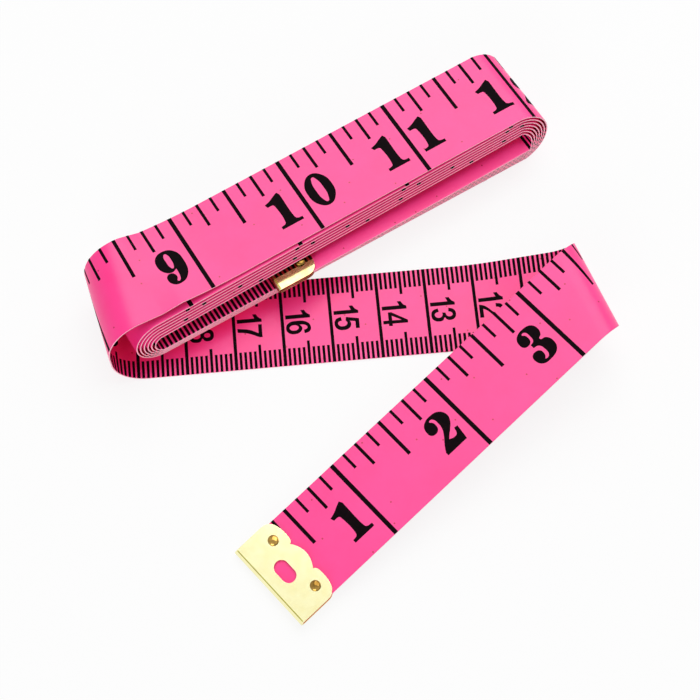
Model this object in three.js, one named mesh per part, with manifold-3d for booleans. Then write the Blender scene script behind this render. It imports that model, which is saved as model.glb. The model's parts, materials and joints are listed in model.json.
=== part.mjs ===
// Tailor's tape measure: one soft strip, wound flat on itself, with its zero end drawn out, folded
// over and laid down. A folded brass clip is riveted on each end of the strip.
// Millimetres, +Z up. The strip lies on the plane z = 0.
import * as THREE from 'three';
import { mergeVertices } from 'three/addons/utils/BufferGeometryUtils.js';
import Module from 'manifold-3d';

const wasm = await Module();
wasm.setup();

const degrees = (angle) => THREE.MathUtils.degToRad(angle);

// Strip
const TAPE_WIDTH = 19;
const TAPE_THICKNESS = 0.3;
const TAPE_LENGTH = 1552;
const HINGE_GAP = 0.3;

// Drawn-out end: a run along the floor, a rise, an oblique fold and the tail
const FOLD_AT = 93.2;
const FOLD_SKEW = degrees(18.5);
const FOLD_RADIUS = 5;
const RISE_ANGLE = degrees(11.6);
const RISE_RADIUS = 48;
const RISE_LENGTH = 9.9;

// Large loop that carries the run over into the first top layer of the winding
const LOOP_AT = 201.35;
const LOOP_SKEW = degrees(12.5);
const LOOP_FOOT_RADIUS = 6.6;
const LOOP_CROWN_RADIUS = 6.8;
const LOOP_FALL = degrees(9.6);
const LOOP_CLEARANCE = 0.8;
const LEAD_FLAT = 0.5;
const LEAD_LENGTH = 4.5;
const LEAD_RADIUS = 85;

// Winding: layers above and below, joined by round bends at both ends. Its length follows from the
// strip's, from the number of turns and from where the far end of the strip comes to lie. Its height
// follows from the layers and from the far clip, which has room between the innermost of them.
const TURNS = 7;
const END_PLACE = 5.5;
const END_CLEARANCE = 0.35;
const LAYER_GAP = 0.425;
const WINDING_LIFT = 0.55;
const WINDING_ROLL = degrees(5.1);

// How far layers lie towards the near side of the first one, at the left and the right bends
const TOP_LEAN_SECOND = 0.8;
const TOP_LEAN_LEFT = 1.7;
const TOP_LEAN_RIGHT = 0.7;
const BOTTOM_LEAN_OUTER_LEFT = 1.3;
const BOTTOM_LEAN_INNER_LEFT = 2.7;
const BOTTOM_LEAN_OUTER_RIGHT = 2.3;
const BOTTOM_LEAN_INNER_RIGHT = 3.3;
const END_LEAN = 4.3;

// Brass clips and their rivets
const CLIP_OVERHANG = 0.35;
const CLIP_SHEET = 0.3;
const CLIP_SIDE = 7;
const CLIP_LOBE = 9.8;
const CLIP_LOBE_INSET = 4.25;
const CLIP_NOTCH = 9;
const CLIP_NOTCH_INSET = 6.45;
const CLIP_CENTRE_LOBE = 10.2;
const SLOT_LENGTH = 5.2;
const SLOT_WIDTH = 3;
const SLOT_FROM_END = 4.7;
const RIVET_FROM_END = 7.1;
const RIVET_INSET = 3.3;
const RIVET_SHANK = 1.1;
const RIVET_HEAD = 2.2;
const RIVET_HEAD_HEIGHT = 0.45;
const RIVET_FOOT = 0.2;
const SEAT_GAP = 0.25;

// Facets
const FOLD_STEPS = 9;
const LOOP_STEPS = 9;
const LEAD_STEPS = 5;
const BEND_STEPS = 24;
const OUTLINE_STEPS = 10;
const CLIP_FOLD_STEPS = 6;
const DOME_STEPS = 4;
const RIVET_SIDES = 16;
const SOLVER_STEPS = 8;

// Half the thickness of a clip, which is also how far its fold reaches past the end of the strip
const CLIP_HALF = TAPE_THICKNESS / 2 + SEAT_GAP + CLIP_SHEET;
const CLIP_WIDTH = TAPE_WIDTH + 2 * CLIP_OVERHANG;
const STRIP_START = CLIP_HALF;
const CUTTER_HEIGHT = 4 * CLIP_HALF;
const RIVET_SPREAD = TAPE_WIDTH / 2 - RIVET_INSET;
const RIVET_ABOVE = CLIP_HALF + SEAT_GAP + RIVET_HEAD_HEIGHT;
const RIVET_BELOW = CLIP_HALF + SEAT_GAP + RIVET_FOOT;
const LAYER_PITCH = TAPE_THICKNESS + LAYER_GAP;
const RUN_MIDDLE = (FOLD_AT + LOOP_AT) / 2;

const material = (color, roughness, metalness) => (
  new THREE.MeshStandardMaterial({ color, roughness, metalness })
);
const vinyl = () => material('#ff5fa2', 0.45, 0);
const brass = () => material('#e9dc8b', 0.28, 1);

// The middle surface of the strip, laid out stretch by stretch from a starting place. Each bend is
// a true roll of the flat strip about parallel lines, which may run askew across it. A ruling is
// one of those lines, from edge to edge.
class Lay {
  constructor(point, along, across, up, length) {
    this.point = point.clone();
    this.along = along.clone();
    this.across = across.clone();
    this.up = up.clone();
    this.length = length;
    this.rulings = [];
  }

  straight(distance) {
    this.point.addScaledVector(this.along, distance);
    this.length += distance;
  }

  // Marks a ruling across the strip, square to its edges where there is no skew.
  rule(skew = 0) {
    const axis = this.along.clone().multiplyScalar(Math.sin(skew));
    axis.addScaledVector(this.across, Math.cos(skew));
    this.mark(this.point, axis, this.up, skew);
  }

  mark(middle, direction, normal, skew) {
    const half = direction.clone().multiplyScalar(TAPE_WIDTH / 2 / Math.cos(skew));
    this.rulings.push({ middle: middle.clone(), half, normal: normal.clone() });
  }

  // Rolls the strip by an angle, towards the side that up points to where the angle is positive.
  bend(turn, radius, skew, steps) {
    const axis = this.along.clone().multiplyScalar(Math.sin(skew));
    axis.addScaledVector(this.across, Math.cos(skew));
    const square = this.along.clone().multiplyScalar(Math.cos(skew));
    square.addScaledVector(this.across, -Math.sin(skew));
    const start = this.point.clone();
    const up = this.up.clone();
    const side = Math.sign(turn);
    const tangent = new THREE.Vector3();
    for (let step = 0; step <= steps; step += 1) {
      const angle = turn * step / steps;
      const rolled = radius * Math.abs(angle);
      this.point.copy(start).addScaledVector(square, side * radius * Math.sin(angle));
      this.point.addScaledVector(up, side * radius * (1 - Math.cos(angle)));
      this.point.addScaledVector(axis, rolled * Math.tan(skew));
      tangent.copy(square).multiplyScalar(Math.cos(angle)).addScaledVector(up, Math.sin(angle));
      this.up.copy(up).multiplyScalar(Math.cos(angle)).addScaledVector(square, -Math.sin(angle));
      this.mark(this.point, axis, this.up, skew);
    }
    this.along.copy(tangent).multiplyScalar(Math.cos(skew)).addScaledVector(axis, Math.sin(skew));
    this.across.copy(axis).multiplyScalar(Math.cos(skew)).addScaledVector(tangent, -Math.sin(skew));
    this.length += radius * Math.abs(turn) / Math.cos(skew);
  }

  // Turns the strip about its own middle line while it runs straight on. What follows rules its end.
  twist(turn, distance, steps) {
    const across = this.across.clone();
    const up = this.up.clone();
    for (let step = 0; step <= steps; step += 1) {
      const angle = turn * step / steps;
      this.across.copy(across).multiplyScalar(Math.cos(angle)).addScaledVector(up, Math.sin(angle));
      this.up.copy(up).multiplyScalar(Math.cos(angle)).addScaledVector(across, -Math.sin(angle));
      if (step < steps) {
        this.rule();
        this.straight(distance / steps);
      }
    }
  }

  // Hands over the rulings laid so far.
  take() {
    const taken = this.rulings;
    this.rulings = [];
    return taken;
  }
}

// A closed strip of even thickness along its rulings.
function stripGeometry(rulings) {
  const positions = [];
  for (const { middle, half, normal } of rulings) {
    for (const [edge, face] of [[1, 1], [-1, 1], [-1, -1], [1, -1]]) {
      const corner = middle.clone().addScaledVector(half, edge);
      corner.addScaledVector(normal, face * TAPE_THICKNESS / 2);
      positions.push(...corner.toArray());
    }
  }
  const triangles = [];
  const last = 4 * (rulings.length - 1);
  triangles.push([0, 1, 2], [0, 2, 3], [last, last + 2, last + 1], [last, last + 3, last + 2]);
  for (let first = 0; first < last; first += 4) {
    for (let corner = 0; corner < 4; corner += 1) {
      const next = (corner + 1) % 4;
      triangles.push([first + corner, first + 4 + corner, first + 4 + next]);
      triangles.push([first + corner, first + 4 + next, first + next]);
    }
  }
  const geometry = new THREE.BufferGeometry();
  geometry.setAttribute('position', new THREE.Float32BufferAttribute(positions, 3));
  geometry.setIndex(triangles.flat());
  return facingOut(geometry);
}

function signedVolume(geometry) {
  const position = geometry.getAttribute('position');
  const index = geometry.getIndex();
  const corners = [new THREE.Vector3(), new THREE.Vector3(), new THREE.Vector3()];
  let volume = 0;
  for (let first = 0; first < index.count; first += 3) {
    corners.forEach((corner, offset) => corner.fromBufferAttribute(position, index.getX(first + offset)));
    volume += corners[0].dot(corners[1].clone().cross(corners[2])) / 6;
  }
  return volume;
}

function facingOut(geometry) {
  if (signedVolume(geometry) < 0) {
    geometry.getIndex().array.reverse();
  }
  return geometry;
}

// Cutting and joining
function toSolid(geometry) {
  const bare = geometry.clone();
  bare.deleteAttribute('normal');
  bare.deleteAttribute('uv');
  const merged = mergeVertices(bare);
  const vertProperties = new Float32Array(merged.getAttribute('position').array);
  const triVerts = new Uint32Array(merged.getIndex().array);
  return new wasm.Manifold(new wasm.Mesh({ numProp: 3, vertProperties, triVerts }));
}

function toGeometry(solid) {
  const mesh = solid.getMesh();
  const geometry = new THREE.BufferGeometry();
  geometry.setAttribute('position', new THREE.BufferAttribute(mesh.vertProperties, 3));
  geometry.setIndex(new THREE.BufferAttribute(mesh.triVerts, 1));
  return geometry;
}

// A clip's place on the strip: X runs from its folded end towards the strip's middle, Y across it.
function clipPlace(lay) {
  const inward = lay.along.clone().negate();
  const above = inward.clone().cross(lay.across);
  const place = new THREE.Matrix4().makeBasis(inward, lay.across, above);
  return place.setPosition(lay.point.clone().addScaledVector(lay.along, STRIP_START));
}

// Upright round cutters at both rivets of a clip
function rivetHoles() {
  const radius = RIVET_SHANK / 2 + SEAT_GAP;
  return [-1, 1].map((side) => {
    const hole = new THREE.CylinderGeometry(radius, radius, CUTTER_HEIGHT, RIVET_SIDES);
    hole.rotateX(Math.PI / 2);
    return hole.translate(RIVET_FROM_END, side * RIVET_SPREAD, 0);
  });
}

function withRivetHoles(geometry, place) {
  const cut = rivetHoles().reduce(
    (solid, hole) => solid.subtract(toSolid(hole.applyMatrix4(place))),
    toSolid(geometry),
  );
  return toGeometry(cut);
}

// Sheet folded round the end of the strip, seen from its side edge
function clipFold() {
  const inner = CLIP_HALF - CLIP_SHEET;
  const reach = CLIP_CENTRE_LOBE + CLIP_SHEET;
  const side = new THREE.Shape();
  side.moveTo(reach, CLIP_HALF);
  side.lineTo(CLIP_HALF, CLIP_HALF);
  side.absarc(CLIP_HALF, 0, CLIP_HALF, Math.PI / 2, 3 * Math.PI / 2, false);
  side.lineTo(reach, -CLIP_HALF);
  side.lineTo(reach, -inner);
  side.lineTo(CLIP_HALF, -inner);
  side.absarc(CLIP_HALF, 0, inner, 3 * Math.PI / 2, Math.PI / 2, true);
  side.lineTo(reach, inner);
  return extruded(side, CLIP_WIDTH, CLIP_FOLD_STEPS).rotateX(Math.PI / 2);
}

// Stamped outline of the clip: straight sides and a scalloped inner edge with three lobes
function clipOutline() {
  const half = CLIP_WIDTH / 2;
  const lobe = half - CLIP_LOBE_INSET;
  const notch = half - CLIP_NOTCH_INSET;
  const bulge = 2 * CLIP_CENTRE_LOBE - CLIP_NOTCH;
  const outer = -CLIP_SHEET;
  const outline = new THREE.Shape();
  outline.moveTo(outer, -half - CLIP_SHEET);
  outline.lineTo(CLIP_SIDE, -half - CLIP_SHEET);
  outline.lineTo(CLIP_SIDE, -half);
  outline.quadraticCurveTo(CLIP_LOBE, -half, CLIP_LOBE, -lobe);
  outline.quadraticCurveTo(CLIP_LOBE, -notch, CLIP_NOTCH, -notch);
  outline.quadraticCurveTo(bulge, 0, CLIP_NOTCH, notch);
  outline.quadraticCurveTo(CLIP_LOBE, notch, CLIP_LOBE, lobe);
  outline.quadraticCurveTo(CLIP_LOBE, half, CLIP_SIDE, half);
  outline.lineTo(CLIP_SIDE, half + CLIP_SHEET);
  outline.lineTo(outer, half + CLIP_SHEET);
  return extruded(outline, CUTTER_HEIGHT, OUTLINE_STEPS);
}

function slotOutline() {
  const round = SLOT_WIDTH / 2;
  const reach = SLOT_LENGTH / 2 - round;
  const slot = new THREE.Shape();
  slot.absarc(SLOT_FROM_END, reach, round, 0, Math.PI, false);
  slot.absarc(SLOT_FROM_END, -reach, round, Math.PI, 2 * Math.PI, false);
  return extruded(slot, CUTTER_HEIGHT, OUTLINE_STEPS);
}

function extruded(shape, depth, curveSegments) {
  const geometry = new THREE.ExtrudeGeometry(shape, { depth, bevelEnabled: false, curveSegments });
  return geometry.translate(0, 0, -depth / 2);
}

function clipGeometry() {
  const stamped = toSolid(clipFold()).intersect(toSolid(clipOutline())).subtract(toSolid(slotOutline()));
  const drilled = rivetHoles().reduce((solid, hole) => solid.subtract(toSolid(hole)), stamped);
  return toGeometry(drilled);
}

// A rivet with a domed head on the upper plate and a flat one under the lower plate
function rivetGeometry() {
  const seat = CLIP_HALF + SEAT_GAP;
  const dome = new THREE.EllipseCurve(0, seat, RIVET_HEAD / 2, RIVET_HEAD_HEIGHT, 0, Math.PI / 2);
  const foot = -seat - RIVET_FOOT;
  const profile = [
    new THREE.Vector2(0, foot),
    new THREE.Vector2(RIVET_HEAD / 2, foot),
    new THREE.Vector2(RIVET_HEAD / 2, -seat),
    new THREE.Vector2(RIVET_SHANK / 2, -seat),
    new THREE.Vector2(RIVET_SHANK / 2, seat),
    ...dome.getPoints(DOME_STEPS),
  ];
  profile[profile.length - 1].setX(0);
  const turned = new THREE.LatheGeometry(profile, RIVET_SIDES).rotateX(Math.PI / 2);
  return facingOut(mergeVertices(turned));
}

// Zero end of the strip, from the middle of the run to the start clip
function layTail() {
  const up = new THREE.Vector3(0, 0, 1);
  const middle = new THREE.Vector3(0, 0, TAPE_THICKNESS / 2);
  const lay = new Lay(middle, new THREE.Vector3(1, 0, 0), new THREE.Vector3(0, 1, 0), up, 0);
  const rise = RISE_RADIUS * (1 - Math.cos(RISE_ANGLE)) + RISE_LENGTH * Math.sin(RISE_ANGLE);
  const foldTop = TAPE_THICKNESS / 2 + rise + FOLD_RADIUS * (1 + Math.cos(RISE_ANGLE)) + HINGE_GAP;
  const reach = FOLD_AT * Math.cos(FOLD_SKEW) + CLIP_WIDTH / 2 * Math.sin(FOLD_SKEW);
  const fall = Math.asin((foldTop - CLIP_HALF) / (reach - FOLD_RADIUS * Math.PI / 2));
  const toCrest = RISE_RADIUS * RISE_ANGLE + RISE_LENGTH + FOLD_RADIUS * (Math.PI / 2 - RISE_ANGLE);
  const flat = RUN_MIDDLE - FOLD_AT - (toCrest + HINGE_GAP / 2) / Math.cos(FOLD_SKEW);
  lay.straight(flat);
  lay.bend(RISE_ANGLE, RISE_RADIUS, -FOLD_SKEW, LEAD_STEPS);
  lay.straight(RISE_LENGTH / Math.cos(FOLD_SKEW));
  lay.bend(Math.PI / 2 - RISE_ANGLE, FOLD_RADIUS, -FOLD_SKEW, FOLD_STEPS);
  const runSide = lay.take();
  const crest = crestLine(lay, -FOLD_SKEW);
  lay.straight(HINGE_GAP / Math.cos(FOLD_SKEW));
  lay.bend(Math.PI / 2 + fall, FOLD_RADIUS, -FOLD_SKEW, FOLD_STEPS);
  lay.straight(RUN_MIDDLE - lay.length - STRIP_START);
  lay.rule();
  return { runSide, tail: lay.take(), crest, clip: clipPlace(lay) };
}

// The line that the strip hinges on: where it stands upright in a bend, on its outer face
function crestLine(lay, skew) {
  const axis = lay.along.clone().multiplyScalar(Math.sin(skew)).addScaledVector(lay.across, Math.cos(skew));
  const point = lay.point.clone().addScaledVector(lay.up, -TAPE_THICKNESS / 2);
  point.addScaledVector(lay.along, HINGE_GAP / 2 / Math.cos(skew));
  return { point, axis };
}

// Far end of the strip, from the middle of the run round the large loop and through the winding,
// whose right bends are a given way from the start of the first top layer
function layFarEnd(rightBend) {
  const up = new THREE.Vector3(0, 0, 1);
  const middle = new THREE.Vector3(0, 0, TAPE_THICKNESS / 2);
  const lay = new Lay(middle, new THREE.Vector3(-1, 0, 0), new THREE.Vector3(0, 1, 0), up, RUN_MIDDLE);
  const fall = Math.asin(Math.sin(LOOP_FALL) * Math.cos(LOOP_SKEW));
  const underside = WINDING_LIFT + TAPE_WIDTH / 2 * Math.sin(WINDING_ROLL);
  const firstTop = underside + top(1) * Math.cos(WINDING_ROLL);
  const squareUp = TAPE_WIDTH / 2 * Math.tan(LOOP_SKEW) + LEAD_FLAT;
  const leadDrop = (squareUp + LEAD_LENGTH) * Math.sin(fall) + LEAD_RADIUS * (1 - Math.cos(fall));
  const loopHeight = firstTop + leadDrop - TAPE_THICKNESS / 2;
  const wall = loopHeight - LOOP_FOOT_RADIUS - LOOP_CROWN_RADIUS * Math.cos(LOOP_FALL);
  const toCrest = (LOOP_FOOT_RADIUS * Math.PI / 2 + wall / 2) / Math.cos(LOOP_SKEW);
  const halfWall = (wall - HINGE_GAP) / 2 / Math.cos(LOOP_SKEW);

  lay.straight(LOOP_AT - RUN_MIDDLE - toCrest);
  lay.bend(Math.PI / 2, LOOP_FOOT_RADIUS, LOOP_SKEW, LOOP_STEPS);
  lay.straight(halfWall);
  lay.rule(LOOP_SKEW);
  const runSide = lay.take();
  const crest = crestLine(lay, LOOP_SKEW);
  lay.straight(HINGE_GAP / Math.cos(LOOP_SKEW));
  lay.rule(LOOP_SKEW);
  lay.straight(halfWall);
  lay.bend(Math.PI / 2 + LOOP_FALL, LOOP_CROWN_RADIUS, LOOP_SKEW, LOOP_STEPS);
  lay.straight(squareUp);
  lay.twist(twistToRoll(lay), LEAD_LENGTH, LEAD_STEPS);
  lay.bend(-fall, LEAD_RADIUS, 0, LEAD_STEPS);
  const lead = lay.take();
  const { turns, endPlace } = windTurns(lay, rightBend, wallEdges(runSide.at(-1)));
  return { runSide, crest, winding: [...lead, ...turns], clip: clipPlace(lay), endPlace };
}

// Ends of the upright ruling in the loop's wall, on its inner face
function wallEdges({ middle, half, normal }) {
  const inner = middle.clone().addScaledVector(normal, TAPE_THICKNESS / 2);
  return [-1, 1].map((edge) => inner.clone().addScaledVector(half, edge));
}

// The right bends' place that lets the far end of the strip lie where it should. One millimetre more
// there takes up a millimetre in each layer of each turn.
function solveRightBend() {
  let rightBend = (TAPE_LENGTH - LOOP_AT) / (2 * TURNS);
  for (let step = 0; step < SOLVER_STEPS; step += 1) {
    rightBend += (END_PLACE - layFarEnd(rightBend).endPlace) / (2 * TURNS);
  }
  return rightBend;
}

// Angle that brings the strip, as it comes off the loop, to the roll of the winding
function twistToRoll(lay) {
  const reach = Math.hypot(lay.across.z, lay.up.z);
  return Math.atan2(lay.up.z, lay.across.z) + Math.acos(-Math.sin(WINDING_ROLL) / reach);
}

// Heights of the layers over the underside of the winding, counted from the outer turn inwards. The
// far clip lies between the innermost top layer and the last bottom layer but one.
const bottom = (turn) => TAPE_THICKNESS / 2 + (turn - 1) * LAYER_PITCH;
const clipHeight = bottom(TURNS - 1) + TAPE_THICKNESS / 2 + END_CLEARANCE + RIVET_BELOW;
const innermostTop = clipHeight + RIVET_ABOVE + END_CLEARANCE + TAPE_THICKNESS / 2;
const top = (turn) => innermostTop + (TURNS - turn) * LAYER_PITCH;

// Leans of the layers, which change evenly from the outer turn to the innermost
const { lerp } = THREE.MathUtils;
const inward = (turn) => (turn - 1) / (TURNS - 1);
const topLeanLeft = (turn) => lerp(TOP_LEAN_SECOND, TOP_LEAN_LEFT, (turn - 2) / (TURNS - 2));
const topLeanRight = (turn) => TOP_LEAN_RIGHT * inward(turn);
const bottomLeanLeft = (turn) => lerp(BOTTOM_LEAN_OUTER_LEFT, BOTTOM_LEAN_INNER_LEFT, inward(turn));
const bottomLeanRight = (turn) => lerp(BOTTOM_LEAN_OUTER_RIGHT, BOTTOM_LEAN_INNER_RIGHT, inward(turn));

// All turns of the winding, from the outermost to the end of the strip. The left bends lie inside the
// wall of the large loop. The first top layer starts to the right of them.
function windTurns(lay, rightBend, wall) {
  const start = lay.point.clone();
  const right = lay.along.clone();
  const near = lay.across.clone().negate();
  const place = (point) => point.clone().sub(start).dot(right);
  const leanBend = (before, after) => lay.rulings.slice(-BEND_STEPS - 1).forEach(({ middle }, step) => {
    middle.addScaledVector(near, lerp(before, after, step / BEND_STEPS));
  });
  const outerBend = (top(2) - bottom(1) + TAPE_THICKNESS) / 2;
  const leftBend = Math.max(...wall.map(place)) + LOOP_CLEARANCE + outerBend;
  const clipRise = Math.asin((clipHeight - bottom(TURNS)) / (rightBend - END_PLACE - RIVET_FROM_END));

  for (let turn = 1; turn <= TURNS; turn += 1) {
    lay.straight(rightBend - place(lay.point));
    const rise = turn === TURNS ? clipRise : 0;
    lay.bend(Math.PI + rise, (top(turn) - bottom(turn)) / (1 + Math.cos(rise)), 0, BEND_STEPS);
    leanBend(topLeanRight(turn), bottomLeanRight(turn));
    if (turn < TURNS) {
      lay.straight(place(lay.point) - leftBend);
      lay.bend(Math.PI, (top(turn + 1) - bottom(turn)) / 2, 0, BEND_STEPS);
      leanBend(bottomLeanLeft(turn), topLeanLeft(turn + 1));
    }
  }
  lay.straight(TAPE_LENGTH - STRIP_START - lay.length);
  lay.point.addScaledVector(near, END_LEAN);
  lay.rule();
  return { turns: lay.take(), endPlace: place(lay.point) };
}

// Least distance between the faces of two stretches of the strip that aren't the same stretch, from
// the points of one line along it. Stretches closer than half a bend are taken as the same.
function leastGap(line) {
  const apart = BEND_STEPS / 2;
  let least = Infinity;
  for (let first = 0; first < line.length; first += 1) {
    for (let second = 0; second + 1 < line.length; second += 1) {
      if (Math.abs(first - second) > apart && Math.abs(first - second - 1) > apart) {
        least = Math.min(least, toSegment(line[first], line[second], line[second + 1]));
      }
    }
  }
  return least - TAPE_THICKNESS;
}

// Lines along the near edge, the middle and the far edge of the strip, seen along the winding's axis
function lengthwiseLines(rulings) {
  const axis = rulings.at(-1).half.clone().normalize();
  return [-1, 0, 1].map((edge) => rulings.map(({ middle, half }) => (
    middle.clone().addScaledVector(half, edge).projectOnPlane(axis)
  )));
}

function toSegment(point, start, end) {
  const run = end.clone().sub(start);
  const share = THREE.MathUtils.clamp(point.clone().sub(start).dot(run) / run.lengthSq(), 0, 1);
  return point.distanceTo(start.clone().addScaledVector(run, share));
}

function piece(name, geometry, finish, place) {
  const mesh = new THREE.Mesh(geometry, finish);
  mesh.name = name;
  if (place) {
    mesh.applyMatrix4(place);
  }
  return mesh;
}

// A clip and its two rivets, on the end of the strip that they are named for
function clipPieces(end, place) {
  const pieces = [piece(`${end}_clip`, clipGeometry(), brass(), place)];
  for (const [side, direction] of [['near', -1], ['far', 1]]) {
    const seat = new THREE.Matrix4().makeTranslation(RIVET_FROM_END, direction * RIVET_SPREAD, 0);
    pieces.push(piece(`${end}_rivet_${side}`, rivetGeometry(), brass(), place.clone().multiply(seat)));
  }
  return pieces;
}

const zeroEnd = layTail();
const farEnd = layFarEnd(solveRightBend());
const run = [...zeroEnd.runSide.reverse(), ...farEnd.runSide];
const windingGap = Math.min(...lengthwiseLines(farEnd.winding).map(leastGap));
console.log(`least gap of the winding to itself: ${windingGap.toFixed(3)} mm`);

const tapeMeasure = new THREE.Group();
tapeMeasure.add(
  piece('tape_tail', withRivetHoles(stripGeometry(zeroEnd.tail), zeroEnd.clip), vinyl()),
  piece('tape_run', stripGeometry(run), vinyl()),
  piece('tape_winding', withRivetHoles(stripGeometry(farEnd.winding), farEnd.clip), vinyl()),
  ...clipPieces('start', zeroEnd.clip),
  ...clipPieces('end', farEnd.clip),
);

// The origin is on the floor, under the middle of the laid-out tape.
const box = new THREE.Box3().setFromObject(tapeMeasure, true);
const middle = box.getCenter(new THREE.Vector3()).setZ(box.min.z);
tapeMeasure.position.copy(middle).negate();
tapeMeasure.userData.hinges = Object.fromEntries(
  [['tail_fold', zeroEnd.crest], ['unroll', farEnd.crest]].map(([name, { point, axis }]) => (
    [name, { point: point.clone().sub(middle).toArray(), axis: axis.toArray() }]
  )),
);

export default tapeMeasure;
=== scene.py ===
"""Soft tailor's tape measure: the printed strip, its brass clips and a plain studio around them."""
import json
import logging
import math
from dataclasses import dataclass, field
from enum import Enum
from typing import Dict, List, Optional, Sequence, Tuple, Union

import bmesh
import bpy
import numpy as np
from mathutils import Matrix, Vector


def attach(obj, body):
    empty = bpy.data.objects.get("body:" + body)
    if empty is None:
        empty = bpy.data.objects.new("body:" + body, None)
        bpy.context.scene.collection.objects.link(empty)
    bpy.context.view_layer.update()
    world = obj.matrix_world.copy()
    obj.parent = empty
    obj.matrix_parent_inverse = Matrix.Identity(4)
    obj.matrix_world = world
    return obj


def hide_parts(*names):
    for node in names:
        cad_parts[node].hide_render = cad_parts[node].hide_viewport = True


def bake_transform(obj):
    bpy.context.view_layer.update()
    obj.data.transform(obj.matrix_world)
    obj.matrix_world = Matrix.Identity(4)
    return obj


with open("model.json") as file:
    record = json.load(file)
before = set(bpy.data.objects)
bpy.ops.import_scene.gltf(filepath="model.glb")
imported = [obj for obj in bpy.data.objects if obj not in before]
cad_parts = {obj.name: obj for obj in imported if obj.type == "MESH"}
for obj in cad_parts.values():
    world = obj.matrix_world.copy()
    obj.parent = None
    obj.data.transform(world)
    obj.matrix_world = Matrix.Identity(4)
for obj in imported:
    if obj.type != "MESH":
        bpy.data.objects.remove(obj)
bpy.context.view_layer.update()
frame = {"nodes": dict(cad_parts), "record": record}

LOG = logging.getLogger("tape_measure")
MM = 0.001
INCH = 25.4
EIGHTHS = 8
CENTIMETRE = 10
QUARTER_TURN = math.pi / 2
FLAT_MAP = "Flat"
OUTLINE_HEIGHT = 100
WHITE = (1.0, 1.0, 1.0, 1.0)

Triple = Tuple[float, float, float]
Colour = Triple
Span = Tuple[float, float]
Place = Tuple[int, float]
Outline = Sequence[Tuple[float, ...]]
Polygons = List[List[int]]
Flat = Tuple[np.ndarray, Polygons]
Tree = bpy.types.NodeTree
Socket = bpy.types.NodeSocket


class Face(Enum):
    """A printed face of the strip, with the side of the strip's normal that it lies on."""

    INCH = -1
    CENTIMETRE = 1


class Hold(Enum):
    """How a stretch of the strip is held."""

    LAID = "laid"
    FOLDED = "folded"


class Body(Enum):
    """A part of the tape that moves on its own."""

    TAIL = "tail"
    RUN = "run"
    WINDING = "winding"


class End(Enum):
    """An end of the strip, by the name that its clip and rivets bear."""

    ZERO = "start"
    FAR = "end"


class Seam(Enum):
    """A ruling at which one stretch of the strip gives way to the next."""

    FOLD_END = "fold_end"
    RISE_END = "rise_end"
    WINDING = "winding"
    STRIP_END = "strip_end"


class Sum(Enum):
    """What a node of arithmetic does with its entries."""

    LARGER = "MAXIMUM"
    PRODUCT = "MULTIPLY"
    UNSIGNED = "ABSOLUTE"


@dataclass(frozen=True)
class StripSizes:
    """Sizes of the flat strip, in millimetres."""

    width: float = 19.0
    thickness: float = 0.3
    length: float = 1552.0
    hinge_gap: float = 0.3
    clip_half: float = 0.7
    clip_width: float = 19.7
    rivet_from_end: float = 7.1
    rivet_above: float = 1.4
    rivet_below: float = 1.15
    edge_round: float = 0.1
    edge_hold: float = 0.3
    inner_points: int = 3
    longest_step: float = 3.0


@dataclass
class Ruling:
    """A straight line across the strip, from edge to edge."""

    station: float
    slant: float
    middle: np.ndarray
    half: np.ndarray
    normal: np.ndarray

    def toward(self, other: "Ruling", share: float) -> "Ruling":
        """Finds a line between this one and the next.

        Args:
            other: The next line along the strip.
            share: How far to go from this one to the other, from 0 to 1.

        Returns:
            The line in between.
        """
        keep = 1.0 - share
        normal = keep * self.normal + share * other.normal
        return Ruling(
            keep * self.station + share * other.station,
            keep * self.slant + share * other.slant,
            keep * self.middle + share * other.middle,
            keep * self.half + share * other.half,
            normal / np.linalg.norm(normal),
        )


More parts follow.
